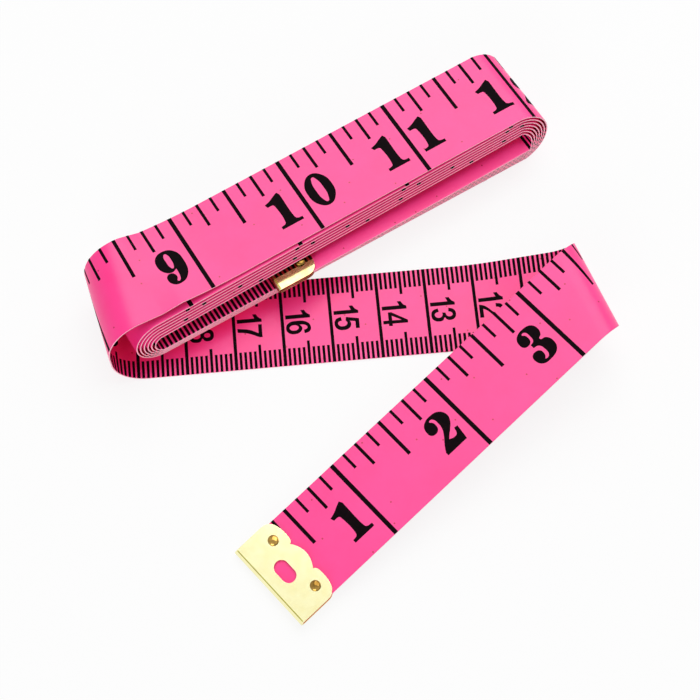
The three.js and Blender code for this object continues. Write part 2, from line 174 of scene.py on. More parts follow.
@dataclass
class Lay:
    """The strip's middle surface, laid stretch by stretch from a starting place."""

    sizes: StripSizes
    point: np.ndarray
    along: np.ndarray
    across: np.ndarray
    up: np.ndarray
    station: float
    sense: int
    rulings: List[Ruling] = field(init=False, default_factory=list)

    def straight(self, distance: float) -> None:
        """Runs straight on by a distance in millimetres."""
        self.point = self.point + self.along * distance
        self.station += self.sense * distance

    def mark(self, axis: np.ndarray, skew: float) -> None:
        """Marks a ruling at the present place.

        Args:
            axis: Its direction.
            skew: Its angle against square across.
        """
        half = axis * (self.sizes.width / 2 / math.cos(skew))
        slant = self.sense * math.tan(skew)
        self.rulings.append(Ruling(self.station, slant, self.point.copy(), half, self.up.copy()))

    def rule(self, skew: float = 0.0) -> None:
        """Marks a ruling that runs askew by an angle."""
        self.mark(self.along * math.sin(skew) + self.across * math.cos(skew), skew)

    def bend(self, turn: float, radius: float, skew: float, steps: int) -> None:
        """Rolls the strip about parallel lines.

        Args:
            turn: Angle, towards the side that up points to where it is positive.
            radius: Radius of the middle surface.
            skew: Angle of the lines against square across.
            steps: Facets in the bend.
        """
        axis = self.along * math.sin(skew) + self.across * math.cos(skew)
        square = self.along * math.cos(skew) - self.across * math.sin(skew)
        start, up, begin = self.point, self.up, self.station
        side = math.copysign(1.0, turn)
        tangent = square
        for step in range(steps + 1):
            angle = turn * step / steps
            rolled = radius * abs(angle)
            self.point = start + square * side * radius * math.sin(angle)
            self.point = self.point + up * side * radius * (1 - math.cos(angle))
            self.point = self.point + axis * rolled * math.tan(skew)
            tangent = square * math.cos(angle) + up * math.sin(angle)
            self.up = up * math.cos(angle) - square * math.sin(angle)
            self.station = begin + self.sense * rolled / math.cos(skew)
            self.mark(axis, skew)
        self.along = tangent * math.cos(skew) + axis * math.sin(skew)
        self.across = axis * math.cos(skew) - tangent * math.sin(skew)

    def twist(self, turn: float, distance: float, steps: int) -> None:
        """Turns the strip about its middle line while it runs straight on.

        Args:
            turn: Angle of the whole twist.
            distance: Length that it takes.
            steps: Facets in the twist.
        """
        across, up = self.across, self.up
        for step in range(steps + 1):
            angle = turn * step / steps
            self.across = across * math.cos(angle) + up * math.sin(angle)
            self.up = up * math.cos(angle) - across * math.sin(angle)
            if step < steps:
                self.rule()
                self.straight(distance / steps)


@dataclass
class Route:
    """The strip's way from its zero end, over the fold, round the loop and through the winding.

    Lengths are in millimetres, and angles in radians.
    """

    sizes: StripSizes = field(default_factory=StripSizes)
    fold_at: float = 93.2
    fold_skew: float = math.radians(18.5)
    fold_radius: float = 5.0
    rise_angle: float = math.radians(11.6)
    rise_radius: float = 48.0
    rise_length: float = 9.9
    loop_at: float = 201.35
    loop_skew: float = math.radians(12.5)
    loop_foot_radius: float = 6.6
    loop_crown_radius: float = 6.8
    loop_fall: float = math.radians(9.6)
    loop_clearance: float = 0.8
    lead_flat: float = 0.5
    lead_length: float = 4.5
    lead_radius: float = 85.0
    turns: int = 7
    end_place: float = 5.5
    end_clearance: float = 0.35
    layer_gap: float = 0.425
    winding_lift: float = 0.55
    winding_roll: float = math.radians(5.1)
    top_lean_second: float = 0.8
    top_lean_left: float = 1.7
    top_lean_right: float = 0.7
    bottom_lean_left: Span = (1.3, 2.7)
    bottom_lean_right: Span = (2.3, 3.3)
    end_lean: float = 4.3
    fold_steps: int = 22
    loop_steps: int = 26
    lead_steps: int = 8
    bend_steps: int = 30
    solver_steps: int = 8
    crest: np.ndarray = field(init=False, default_factory=lambda: np.zeros(3))
    seams: Dict[Seam, int] = field(init=False, default_factory=dict)

    @property
    def run_middle(self) -> float:
        """Station of the middle of the run."""
        return (self.fold_at + self.loop_at) / 2

    def start(self, direction: float, sense: int) -> Lay:
        """Starts a lay in the middle of the run.

        Args:
            direction: 1 to leave along X, and -1 to leave against it.
            sense: 1 to count up the strip's stations on the way, and -1 to count down.

        Returns:
            The lay, with the centimetre face up.
        """
        rest = np.array([0.0, 0.0, self.sizes.thickness / 2])
        along, across, up = np.diag([direction, 1.0, 1.0])
        return Lay(self.sizes, rest, along, across, up, self.run_middle, sense)

    def lay_tail(self) -> List[Ruling]:
        """Lays the zero end, from the middle of the run over the fold to the start clip.

        Returns:
            The rulings in the order of their stations.
        """
        s = self.sizes
        lay = self.start(1.0, -1)
        rise = self.rise_radius * (1 - math.cos(self.rise_angle))
        rise += self.rise_length * math.sin(self.rise_angle)
        top = s.thickness / 2 + rise + self.fold_radius * (1 + math.cos(self.rise_angle)) + s.hinge_gap
        reach = self.fold_at * math.cos(self.fold_skew) + s.clip_width / 2 * math.sin(self.fold_skew)
        fall = math.asin((top - s.clip_half) / (reach - self.fold_radius * QUARTER_TURN))
        to_crest = self.rise_radius * self.rise_angle + self.rise_length
        to_crest += self.fold_radius * (QUARTER_TURN - self.rise_angle)
        cosine = math.cos(self.fold_skew)
        lay.straight(self.run_middle - self.fold_at - (to_crest + s.hinge_gap / 2) / cosine)
        lay.bend(self.rise_angle, self.rise_radius, -self.fold_skew, self.lead_steps)
        lay.straight(self.rise_length / cosine)
        lay.bend(QUARTER_TURN - self.rise_angle, self.fold_radius, -self.fold_skew, self.fold_steps)
        self.crest = lay.point - lay.up * s.thickness / 2 + lay.along * (s.hinge_gap / 2 / cosine)
        lay.straight(s.hinge_gap / cosine)
        lay.bend(QUARTER_TURN + fall, self.fold_radius, -self.fold_skew, self.fold_steps)
        lay.straight(lay.station - s.clip_half)
        lay.rule()
        return lay.rulings[::-1]

    def layer_bottom(self, turn: int) -> float:
        """Height of a bottom layer over the winding's underside."""
        return self.sizes.thickness / 2 + (turn - 1) * (self.sizes.thickness + self.layer_gap)

    def clip_height(self) -> float:
        """Height of the far clip's middle, over the last bottom layer but one."""
        s = self.sizes
        return self.layer_bottom(self.turns - 1) + s.thickness / 2 + self.end_clearance + s.rivet_below

    def layer_top(self, turn: int) -> float:
        """Finds the height of a top layer over the winding's underside.

        Args:
            turn: The layer's turn, counted from the outermost.

        Returns:
            The height.
        """
        s = self.sizes
        innermost = self.clip_height() + s.rivet_above + self.end_clearance + s.thickness / 2
        return innermost + (self.turns - turn) * (s.thickness + self.layer_gap)

    def inward(self, turn: int) -> float:
        """Place of a turn between the outermost, at 0, and the innermost, at 1."""
        return (turn - 1) / (self.turns - 1)

    def lean_top(self, turn: int) -> float:
        """How far a top layer lies to the near side of the first one, at its left end."""
        share = (turn - 2) / (self.turns - 2)
        return (1 - share) * self.top_lean_second + share * self.top_lean_left

    def lean_bottom(self, turn: int, ends: Span) -> float:
        """How far a bottom layer lies to the near side, between those of the outer and inner turns."""
        return (1 - self.inward(turn)) * ends[0] + self.inward(turn) * ends[1]

    def lay_far_end(self, right_bend: float) -> Tuple[List[Ruling], float]:
        """Lays the far end, from the middle of the run round the loop and through the winding.

        Args:
            right_bend: Way from the start of the first top layer to the right bends.

        Returns:
            The rulings in the order of their stations, and where the strip's end comes to lie.
        """
        s = self.sizes
        lay = self.start(-1.0, 1)
        fall = math.asin(math.sin(self.loop_fall) * math.cos(self.loop_skew))
        underside = self.winding_lift + s.width / 2 * math.sin(self.winding_roll)
        first_top = underside + self.layer_top(1) * math.cos(self.winding_roll)
        square_up = s.width / 2 * math.tan(self.loop_skew) + self.lead_flat
        drop = (square_up + self.lead_length) * math.sin(fall) + self.lead_radius * (1 - math.cos(fall))
        wall = first_top + drop - s.thickness / 2 - self.loop_foot_radius
        wall -= self.loop_crown_radius * math.cos(self.loop_fall)
        cosine = math.cos(self.loop_skew)
        half_wall = (wall - s.hinge_gap) / 2 / cosine
        foot = (self.loop_foot_radius * math.pi / 2 + wall / 2) / cosine
        lay.straight(self.loop_at - self.run_middle - foot)
        lay.bend(QUARTER_TURN, self.loop_foot_radius, self.loop_skew, self.loop_steps)
        lay.straight(half_wall)
        lay.rule(self.loop_skew)
        inner = lay.rulings[-1]
        edges = [inner.middle + inner.normal * s.thickness / 2 + side * inner.half for side in (-1, 1)]
        lay.straight(s.hinge_gap / cosine)
        lay.rule(self.loop_skew)
        lay.straight(half_wall)
        lay.bend(QUARTER_TURN + self.loop_fall, self.loop_crown_radius, self.loop_skew, self.loop_steps)
        lay.straight(square_up)
        level = -math.sin(self.winding_roll) / math.hypot(lay.across[2], lay.up[2])
        turn = math.atan2(lay.up[2], lay.across[2]) + math.acos(level)
        lay.twist(turn, self.lead_length, self.lead_steps)
        lay.bend(-fall, self.lead_radius, 0.0, self.lead_steps)
        self.seams[Seam.WINDING] = len(lay.rulings) - 1
        end = self.wind(lay, right_bend, edges)
        return lay.rulings, end

    def wind(self, lay: Lay, right_bend: float, wall: Sequence[np.ndarray]) -> float:
        """Lays all turns of the winding, from the outermost to the end of the strip.

        Args:
            lay: The lay, at the start of the first top layer.
            right_bend: Way from there to the right bends.
            wall: Points of the loop's wall that the left bends stay clear of.

        Returns:
            Where the end of the strip comes to lie, counted from the start of the first top layer.
        """
        s = self.sizes
        origin = lay.point.copy()
        right, near = lay.along.copy(), -lay.across
        outer_bend = (self.layer_top(2) - self.layer_bottom(1) + s.thickness) / 2
        left_bend = max(float((p - origin) @ right) for p in wall) + self.loop_clearance + outer_bend
        to_clip = right_bend - self.end_place - s.rivet_from_end
        clip_rise = math.asin((self.clip_height() - self.layer_bottom(self.turns)) / to_clip)
        for turn in range(1, self.turns + 1):
            lay.straight(right_bend - float((lay.point - origin) @ right))
            rise = clip_rise if turn == self.turns else 0.0
            radius = (self.layer_top(turn) - self.layer_bottom(turn)) / (1 + math.cos(rise))
            lay.bend(math.pi + rise, radius, 0.0, self.bend_steps)
            lean_right = self.lean_bottom(turn, self.bottom_lean_right)
            self.lean(lay, near, self.top_lean_right * self.inward(turn), lean_right)
            if turn < self.turns:
                lay.straight(float((lay.point - origin) @ right) - left_bend)
                radius = (self.layer_top(turn + 1) - self.layer_bottom(turn)) / 2
                lay.bend(math.pi, radius, 0.0, self.bend_steps)
                lean_left = self.lean_bottom(turn, self.bottom_lean_left)
                self.lean(lay, near, lean_left, self.lean_top(turn + 1))
        lay.straight(s.length - s.clip_half - lay.station)
        end = float((lay.point - origin) @ right)
        lay.point = lay.point + near * self.end_lean
        lay.rule()
        return end

    def lean(self, lay: Lay, near: np.ndarray, before: float, after: float) -> None:
        """Shifts the last bend sideways, from one layer's place to the next one's.

        Args:
            lay: The lay, at the end of the bend.
            near: The way to the near side.
            before: Shift of the layer that comes to the bend, in millimetres.
            after: Shift of the layer that leaves it.
        """
        for step, ruling in enumerate(lay.rulings[-self.bend_steps - 1:]):
            share = step / self.bend_steps
            ruling.middle = ruling.middle + near * ((1 - share) * before + share * after)

    def lay_out(self) -> "Strip":
        """Lays the whole strip, with its far end where it should be.

        Returns:
            The strip, in the frame's own place, in millimetres.
        """
        right_bend = (self.sizes.length - self.loop_at) / (2 * self.turns)
        for _ in range(self.solver_steps):
            right_bend += (self.end_place - self.lay_far_end(right_bend)[1]) / (2 * self.turns)
        tail = self.lay_tail()
        far_end, _ = self.lay_far_end(right_bend)
        joints = {joint["name"]: joint for joint in frame["record"]["behaviour"]["joints"]}
        shift = np.array(joints["tail_fold"]["pos_m"]) / MM - self.crest
        rulings = tail + far_end
        for ruling in rulings:
            ruling.middle = ruling.middle + shift
        fold_end = 2 * (self.fold_steps + 1)
        self.seams = {
            Seam.FOLD_END: fold_end,
            Seam.RISE_END: fold_end + self.lead_steps + 1,
            Seam.WINDING: len(tail) + self.seams[Seam.WINDING],
            Seam.STRIP_END: len(rulings) - 1,
        }
        return Strip(self.sizes, rulings)


class Strip:
    """The laid strip, which tells where a point of the flat one comes to lie."""

    def __init__(self, sizes: StripSizes, rulings: List[Ruling]) -> None:
        """Keeps the rulings, and their numbers as arrays.

        Args:
            sizes: Sizes of the flat strip.
            rulings: Its rulings, in the order of their stations.
        """
        self.sizes = sizes
        self.rulings = rulings
        self.station = np.array([r.station for r in rulings])
        self.slant = np.array([r.slant for r in rulings])
        self.middle = np.array([r.middle for r in rulings])
        self.half = np.array([r.half for r in rulings])
        self.normal = np.array([r.normal for r in rulings])

    def line(self, place: Place) -> Ruling:
        """Finds a line across the strip.

        Args:
            place: Number of the ruling before it, and its share of the way to the next one.

        Returns:
            The line.
        """
        number, share = place
        if not share:
            return self.rulings[number]
        return self.rulings[number].toward(self.rulings[number + 1], share)

    def at(self, flat: np.ndarray) -> Tuple[np.ndarray, np.ndarray]:
        """Finds places on the middle surface.

        Args:
            flat: Rows of station and place across, in millimetres.

        Returns:
            The points, and the normals towards the centimetre face.
        """
        stations, across = flat[:, 0], flat[:, 1]
        lines = self.station[None, :] + across[:, None] * self.slant[None, :]
        cell = np.clip((lines <= stations[:, None]).sum(axis=1) - 1, 0, len(self.station) - 2)
        rows = np.arange(len(stations))
        before, after = lines[rows, cell], lines[rows, cell + 1]
        share = ((stations - before) / (after - before))[:, None]
        reach = (across / (self.sizes.width / 2))[:, None]
        first = self.middle[cell] + reach * self.half[cell]
        second = self.middle[cell + 1] + reach * self.half[cell + 1]
        normal = (1 - share) * self.normal[cell] + share * self.normal[cell + 1]
        normal = normal / np.linalg.norm(normal, axis=1, keepdims=True)
        return (1 - share) * first + share * second, normal


def worked_out(tree: Tree, work: Sum, *entries: Union[Socket, float]) -> Socket:
    """Works out a value from others.

    Args:
        tree: The node tree to add to.
        work: What is done with the entries.
        entries: The sockets and numbers that go in.

    Returns:
        The result.
    """
    node = tree.nodes.new("ShaderNodeMath")
    node.operation = work.value
    for entry, socket in zip(entries, node.inputs):
        if isinstance(entry, float):
            socket.default_value = entry
        else:
            tree.links.new(entry, socket)
    return node.outputs["Value"]


def remapped(tree: Tree, value: Socket, source: Span = (0.0, 1.0), target: Span = (0.0, 1.0)) -> Socket:
    """Takes a value from one span to another, and keeps it in there.

    Args:
        tree: The node tree to add to.
        value: The value.
        source: Start and end of the span that it comes from.
        target: Start and end of the span that it goes to.

    Returns:
        The new value.
    """
    node = tree.nodes.new("ShaderNodeMapRange")
    for names, span in ((("From Min", "From Max"), source), (("To Min", "To Max"), target)):
        for name, end in zip(names, span):
            node.inputs[name].default_value = end
    tree.links.new(value, node.inputs["Value"])
    return node.outputs["Result"]


def tinted(tree: Tree, value: Socket, stops: Span, low: Colour, high: Colour) -> Socket:
    """Turns a value into a colour between two.

    Args:
        tree: The node tree to add to.
        value: The value.
        stops: The values at which the two colours are reached.
        low: The colour at the lower stop.
        high: The colour at the higher one.

    Returns:
        The colour.
    """
    node = tree.nodes.new("ShaderNodeValToRGB")
    for element, stop, colour in zip(node.color_ramp.elements, stops, (low, high)):
        element.position = stop
        element.color = (*colour, 1.0)
    tree.links.new(value, node.inputs["Fac"])
    return node.outputs["Color"]


def bumped(tree: Tree, height: Socket, strength: float, distance: float) -> Socket:
    """Raises a surface by a height.

    Args:
        tree: The node tree to add to.
        height: The height, from 0 to 1.
        strength: How strongly it shows.
        distance: The greatest height, in millimetres.

    Returns:
        The bumped normal.
    """
    node = tree.nodes.new("ShaderNodeBump")
    node.inputs["Strength"].default_value = strength
    node.inputs["Distance"].default_value = distance * MM
    tree.links.new(height, node.inputs["Height"])
    return node.outputs["Normal"]


def shared(tree: Tree, share: Socket, first: Socket, second: Socket) -> Socket:
    """Mixes two shaders.

    Args:
        tree: The node tree to add to.
        share: How much of the second one shows, from 0 to 1.
        first: The first shader.
        second: The second shader.

    Returns:
        The mixed shader.
    """
    node = tree.nodes.new("ShaderNodeMixShader")
    for entry, socket in zip((share, first, second), node.inputs):
        tree.links.new(entry, socket)
    return node.outputs["Shader"]


def seen_rays(tree: Tree) -> Socket:
    """Tells rays that see a surface, straight or by reflection, from those that light one.

    Args:
        tree: The node tree to add to.

    Returns:
        A socket that is 1 for a ray that sees, and 0 for one that lights.
    """
    path = tree.nodes.new("ShaderNodeLightPath")
    seen = path.outputs["Is Camera Ray"]
    for ray in ("Is Glossy Ray", "Is Transmission Ray"):
        seen = worked_out(tree, Sum.LARGER, seen, path.outputs[ray])
    return seen


def own_place(tree: Tree) -> Socket:
    """Adds a piece's own coordinates to a node tree, in metres."""
    return tree.nodes.new("ShaderNodeTexCoord").outputs["Object"]


@dataclass(frozen=True)
class Grain:
    """Fine unevenness of a finish: how close it is, how much detail it has and how rough that is."""

    scale: float
    detail: float
    roughness: float

    def over(self, tree: Tree, place: Socket) -> Socket:
        """Spreads the grain over a surface.

        Args:
            tree: The node tree to add to.
            place: The coordinates that it follows.

        Returns:
            Its value, about 0.5 in the middle.
        """
        node = tree.nodes.new("ShaderNodeTexNoise")
        node.inputs["Scale"].default_value = self.scale
        node.inputs["Detail"].default_value = self.detail
        node.inputs["Roughness"].default_value = self.roughness
        tree.links.new(place, node.inputs["Vector"])
        return node.outputs["Fac"]


@dataclass(frozen=True)
class Finish:
    """A surface finish with a name. Each kind of finish makes its own nodes."""

    name: str

    def material(self) -> bpy.types.Material:
        """Makes the finish's material, or finds it if it has been made.

        Returns:
            The material.
        """
        known = bpy.data.materials.get(self.name)
        if known:
            return known
        made = bpy.data.materials.new(self.name)
        made.use_nodes = True
        self.fill(made.node_tree, made.node_tree.nodes["Principled BSDF"])
        return made

    def fill(self, tree: Tree, shader: bpy.types.Node) -> None:
        """Sets the shader of the finish. Each kind of finish has its own."""
        raise NotImplementedError


@dataclass(frozen=True)
class VinylFinish(Finish):
    """Glossy coated cloth: faint blotches, a fine weave under the coat, small specks, pale cut edges that
    are partly pale fibres and partly a painted highlight, and a faint red painted glow that lifts the
    shaded parts.

    Threads, specks and edges are measured on the flat strip, in millimetres.
    """

    pale: Colour = (0.95, 0.048, 0.305)
    deep: Colour = (0.94, 0.03, 0.26)
    speck: Colour = (0.45, 0.004, 0.06)
    # Pale cut edges: partly the pale fibres of the cut cloth, partly a painted highlight that keeps them
    # bright in the shade.
    edge: Colour = (0.98, 0.52, 0.64)
    # A faint red emission on the tape: a painted glow that lifts the red where the tape lies in shade.
    glow: Colour = (1.0, 0.0, 0.01)
    glow_strength: float = 0.09
    specular: float = 0.55
    roughness: Span = (0.3, 0.42)
    blotches: Grain = Grain(90.0, 4.0, 0.6)
    blotch_stops: Span = (0.32, 0.68)
    thread_pitch: float = 0.45
    thread_waver: float = 0.3
    thread_height: float = 0.03
    thread_strength: float = 0.1
    speck_spacing: float = 9.0
    speck_radius: float = 0.24
    speck_core: float = 0.5
    half_width: float = StripSizes.width / 2
    edge_width: float = 0.025

    def fill(self, tree: Tree, shader: bpy.types.Node) -> None:
        """Mixes the pinks, specks and pale edges, which are partly a painted highlight, adds a faint
        painted red glow, and raises the weave a little.

        Args:
            tree: The material's node tree.
            shader: Its main shader.
        """
        link = tree.links.new
        flat_map = tree.nodes.new("ShaderNodeUVMap")
        flat_map.uv_map = FLAT_MAP
        flat = flat_map.outputs["UV"]
        blotch = self.blotches.over(tree, own_place(tree))
        pink = tinted(tree, blotch, self.blotch_stops, self.deep, self.pale)
        specked = self.laid_over(tree, pink, self.speck, self.specks(tree, flat))
        # Pale edge colour, partly a painted highlight.
        edge_fibres_and_highlight = self.laid_over(tree, specked, self.edge, self.edges(tree, flat))
        link(edge_fibres_and_highlight, shader.inputs["Base Color"])
        link(self.weave(tree, flat), shader.inputs["Normal"])
        link(remapped(tree, blotch, target=self.roughness), shader.inputs["Roughness"])
        shader.inputs["Specular IOR Level"].default_value = self.specular
        # Painted red glow, which lifts the shaded parts of the tape.
        shader.inputs["Emission Color"].default_value = (*self.glow, 1.0)
        shader.inputs["Emission Strength"].default_value = self.glow_strength

    @staticmethod
    def laid_over(tree: Tree, under: Socket, colour: Colour, share: Socket) -> Socket:
        """Lays a colour over another where a share says so.

        Args:
            tree: The material's node tree.
            under: The colour below.
            colour: The colour on top.
            share: How much of it shows, from 0 to 1.

        Returns:
            The mixed colour.
        """
        mix = tree.nodes.new("ShaderNodeMix")
        mix.data_type = "RGBA"
        tree.links.new(share, mix.inputs["Factor"])
        tree.links.new(under, mix.inputs["A"])
        mix.inputs["B"].default_value = (*colour, 1.0)
        return mix.outputs["Result"]

    def specks(self, tree: Tree, flat: Socket) -> Socket:
        """Scatters small specks over the flat strip.

        Args:
            tree: The material's node tree.
            flat: Places on the flat strip, in millimetres.

        Returns:
            Where they are, as 1 in a speck and 0 beside it.
        """
        cells = tree.nodes.new("ShaderNodeTexVoronoi")
        cells.voronoi_dimensions = "2D"
        cells.inputs["Scale"].default_value = 1.0 / self.speck_spacing
        tree.links.new(flat, cells.inputs["Vector"])
        radius = self.speck_radius / self.speck_spacing
        return remapped(tree, cells.outputs["Distance"], source=(radius, self.speck_core * radius))

    def edges(self, tree: Tree, flat: Socket) -> Socket:
        """Finds the cut edges of the strip, which take the pale colour: partly pale fibres, partly a
        painted highlight.

        Args:
            tree: The material's node tree.
            flat: Places on the flat strip, in millimetres.

        Returns:
            Where they are, as 1 at an edge and 0 away from it.
        """
        axes = tree.nodes.new("ShaderNodeSeparateXYZ")
        tree.links.new(flat, axes.inputs["Vector"])
        from_middle = worked_out(tree, Sum.UNSIGNED, axes.outputs["Y"])
        border = (self.half_width - 2 * self.edge_width, self.half_width - self.edge_width)
        return remapped(tree, from_middle, source=border)

    def weave(self, tree: Tree, flat: Socket) -> Socket:
        """Raises the threads under the coat.

        Args:
            tree: The material's node tree.
            flat: Places on the flat strip, in millimetres.

        Returns:
            The bumped normal.
        """
        threads = []
        for direction in ("X", "Y"):
            wave = tree.nodes.new("ShaderNodeTexWave")
            wave.bands_direction = direction
            wave.inputs["Scale"].default_value = 1.0 / (self.thread_pitch * math.pi)
            wave.inputs["Distortion"].default_value = self.thread_waver
            tree.links.new(flat, wave.inputs["Vector"])
            threads.append(wave.outputs["Fac"])
        crossed = worked_out(tree, Sum.PRODUCT, *threads)
        return bumped(tree, crossed, self.thread_strength, self.thread_height)


@dataclass(frozen=True)
class InkFinish(Finish):
    """Black printing ink, slightly uneven."""

    black: Colour = (0.002, 0.001, 0.0015)
    thin: Colour = (0.007, 0.002, 0.004)
    specular: float = 0.03
    roughness: Span = (0.5, 0.7)
    mottle: Grain = Grain(1400.0, 3.0, 0.6)
    mottle_stops: Span = (0.35, 0.75)

    def fill(self, tree: Tree, shader: bpy.types.Node) -> None:
        """Mottles the ink a little in colour and gloss.

        Args:
            tree: The material's node tree.
            shader: Its main shader.
        """
        link = tree.links.new
        mottle = self.mottle.over(tree, own_place(tree))
        link(tinted(tree, mottle, self.mottle_stops, self.black, self.thin), shader.inputs["Base Color"])
        link(remapped(tree, mottle, target=self.roughness), shader.inputs["Roughness"])
        shader.inputs["Specular IOR Level"].default_value = self.specular


@dataclass(frozen=True)
class BrassFinish(Finish):
    """Pressed brass with faint staining and drawn scratches; in the darker variants the two colours are
    painted shade and painted dark reflections.
    """

    bright: Colour = (0.95, 0.91, 0.54)
    stained: Colour = (0.93, 0.87, 0.47)
    roughness: Span = (0.07, 0.14)
    stains: Grain = Grain(420.0, 5.0, 0.62)
    stain_stops: Span = (0.36, 0.62)
    scratches: Grain = Grain(900.0, 3.0, 0.55)
    scratch_squeeze: Triple = (1.0, 9.0, 1.0)
    scratch_depth: float = 0.01
    scratch_strength: float = 0.03

    def fill(self, tree: Tree, shader: bpy.types.Node) -> None:
        """Lays two colours over the metal by a grain and scratches it: faint staining on the start clip,
        painted shade and dark reflections on the darker far clip and rivets.

        Args:
            tree: The material's node tree.
            shader: Its main shader.
        """
        link = tree.links.new
        place = own_place(tree)
        # Grain between the two colours: faint staining on the start clip, painted dark reflection patches
        # on the rivets.
        stain_and_dark_patch = self.stains.over(tree, place)
        link(tinted(tree, stain_and_dark_patch, self.stain_stops, self.stained, self.bright), shader.inputs["Base Color"])
        squeeze = tree.nodes.new("ShaderNodeMapping")
        squeeze.inputs["Scale"].default_value = self.scratch_squeeze
        link(place, squeeze.inputs["Vector"])
        scratch = self.scratches.over(tree, squeeze.outputs["Vector"])
        link(remapped(tree, scratch, target=self.roughness), shader.inputs["Roughness"])
        link(bumped(tree, scratch, self.scratch_strength, self.scratch_depth), shader.inputs["Normal"])
        shader.inputs["Metallic"].default_value = 1.0


@dataclass(frozen=True)
class PaperFinish(Finish):
    """White sweep of paper, which keeps a faint shadow and shows as white in the picture."""

    paper: Colour = (0.92, 0.92, 0.92)
    roughness: float = 0.9
    specular: float = 0.1
    shown_white: float = 0.85

    def fill(self, tree: Tree, shader: bpy.types.Node) -> None:
        """Mixes the lit paper with plain white where it is seen.

        Args:
            tree: The material's node tree.
            shader: Its main shader.
        """
        shader.inputs["Roughness"].default_value = self.roughness
        shader.inputs["Specular IOR Level"].default_value = self.specular
        shader.inputs["Base Color"].default_value = (*self.paper, 1.0)
        white = tree.nodes.new("ShaderNodeEmission")
        white.inputs["Color"].default_value = WHITE
        share = worked_out(tree, Sum.PRODUCT, seen_rays(tree), self.shown_white)
        sweep = shared(tree, share, shader.outputs["BSDF"], white.outputs["Emission"])
        tree.links.new(sweep, tree.nodes["Material Output"].inputs["Surface"])


VINYL = VinylFinish("pink_vinyl")
INK = InkFinish("black_ink")
BRASS = BrassFinish("pressed_brass")
# The far clip's brass is painted darker all over: painted shade and dark reflection for its place inside
# the winding.
FAR_CLIP_PAINTED_SHADE_BRASS = BrassFinish("far_clip_brass_painted_shade", (0.60, 0.54, 0.27), (0.44, 0.37, 0.15), (0.07, 0.16))
# Rivet brass: its dark brown colour and dark patches are painted dark reflections.
RIVET_BRASS = BrassFinish("rivet_brass_painted_reflections", (0.50, 0.31, 0.08), (0.16, 0.08, 0.012), (0.08, 0.16))
# A dark, rougher brass for the line along each clip's fold.
FOLD_LINE_BRASS = BrassFinish("dark_fold_line_brass", (0.30, 0.27, 0.03), (0.20, 0.17, 0.02), (0.3, 0.45))
PAPER = PaperFinish("white_paper")


def make_mesh(name: str, points: Sequence[np.ndarray], faces: Sequence[Sequence[int]]) -> bpy.types.Mesh:
    """Makes a mesh.

    Args:
        name: Its name.
        points: Its points, in millimetres.
        faces: The numbers of each face's points.

    Returns:
        The mesh, in metres.
    """
    mesh = bpy.data.meshes.new(name)
    mesh.from_pydata([tuple(point * MM) for point in points], [], faces)
    return mesh


def close_outward(mesh: bpy.types.Mesh) -> None:
    """Turns all faces of a closed mesh outwards.

    Args:
        mesh: The mesh.
    """
    bm = bmesh.new()
    bm.from_mesh(mesh)
    bmesh.ops.recalc_face_normals(bm, faces=bm.faces)
    bm.to_mesh(mesh)
    bm.free()


def smooth(mesh: bpy.types.Mesh, sharpest: float) -> None:
    """Shades a mesh smooth, apart from edges sharper than an angle."""
    mesh.shade_smooth()
    mesh.set_sharp_from_angle(angle=sharpest)


def add_piece(mesh: bpy.types.Mesh, finish: Finish) -> bpy.types.Object:
    """Dresses a mesh in a finish, and adds it to the scene under its own name.

    Args:
        mesh: The final mesh.
        finish: Its finish.

    Returns:
        The piece.
    """
    piece = bpy.data.objects.new(mesh.name, mesh)
    bpy.context.collection.objects.link(piece)
    mesh.materials.append(finish.material())
    return piece


@dataclass(frozen=True)
class Zone:
    """A stretch of the strip between two lines across it, and what it moves with.

    Over a joint, it names both bodies and two heights, in millimetres.
    """

    name: str
    first: Place
    last: Place
    bodies: Tuple[Body, ...]
    hold: Hold
    node: Optional[str] = None
    rests_on: Tuple[str, ...] = ()
    blend_heights: Span = (0.0, 0.0)

    def attach(self, piece: bpy.types.Object) -> None:
        """Ties a piece to the stretch's body, or, over a joint, fixes it where it lies.

        Args:
            piece: The piece, in place, with its final mesh.
        """
        bodies = [body.value for body in self.bodies]
        if len(bodies) == 1:
            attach(piece, bodies[0])
            return
        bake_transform(piece)


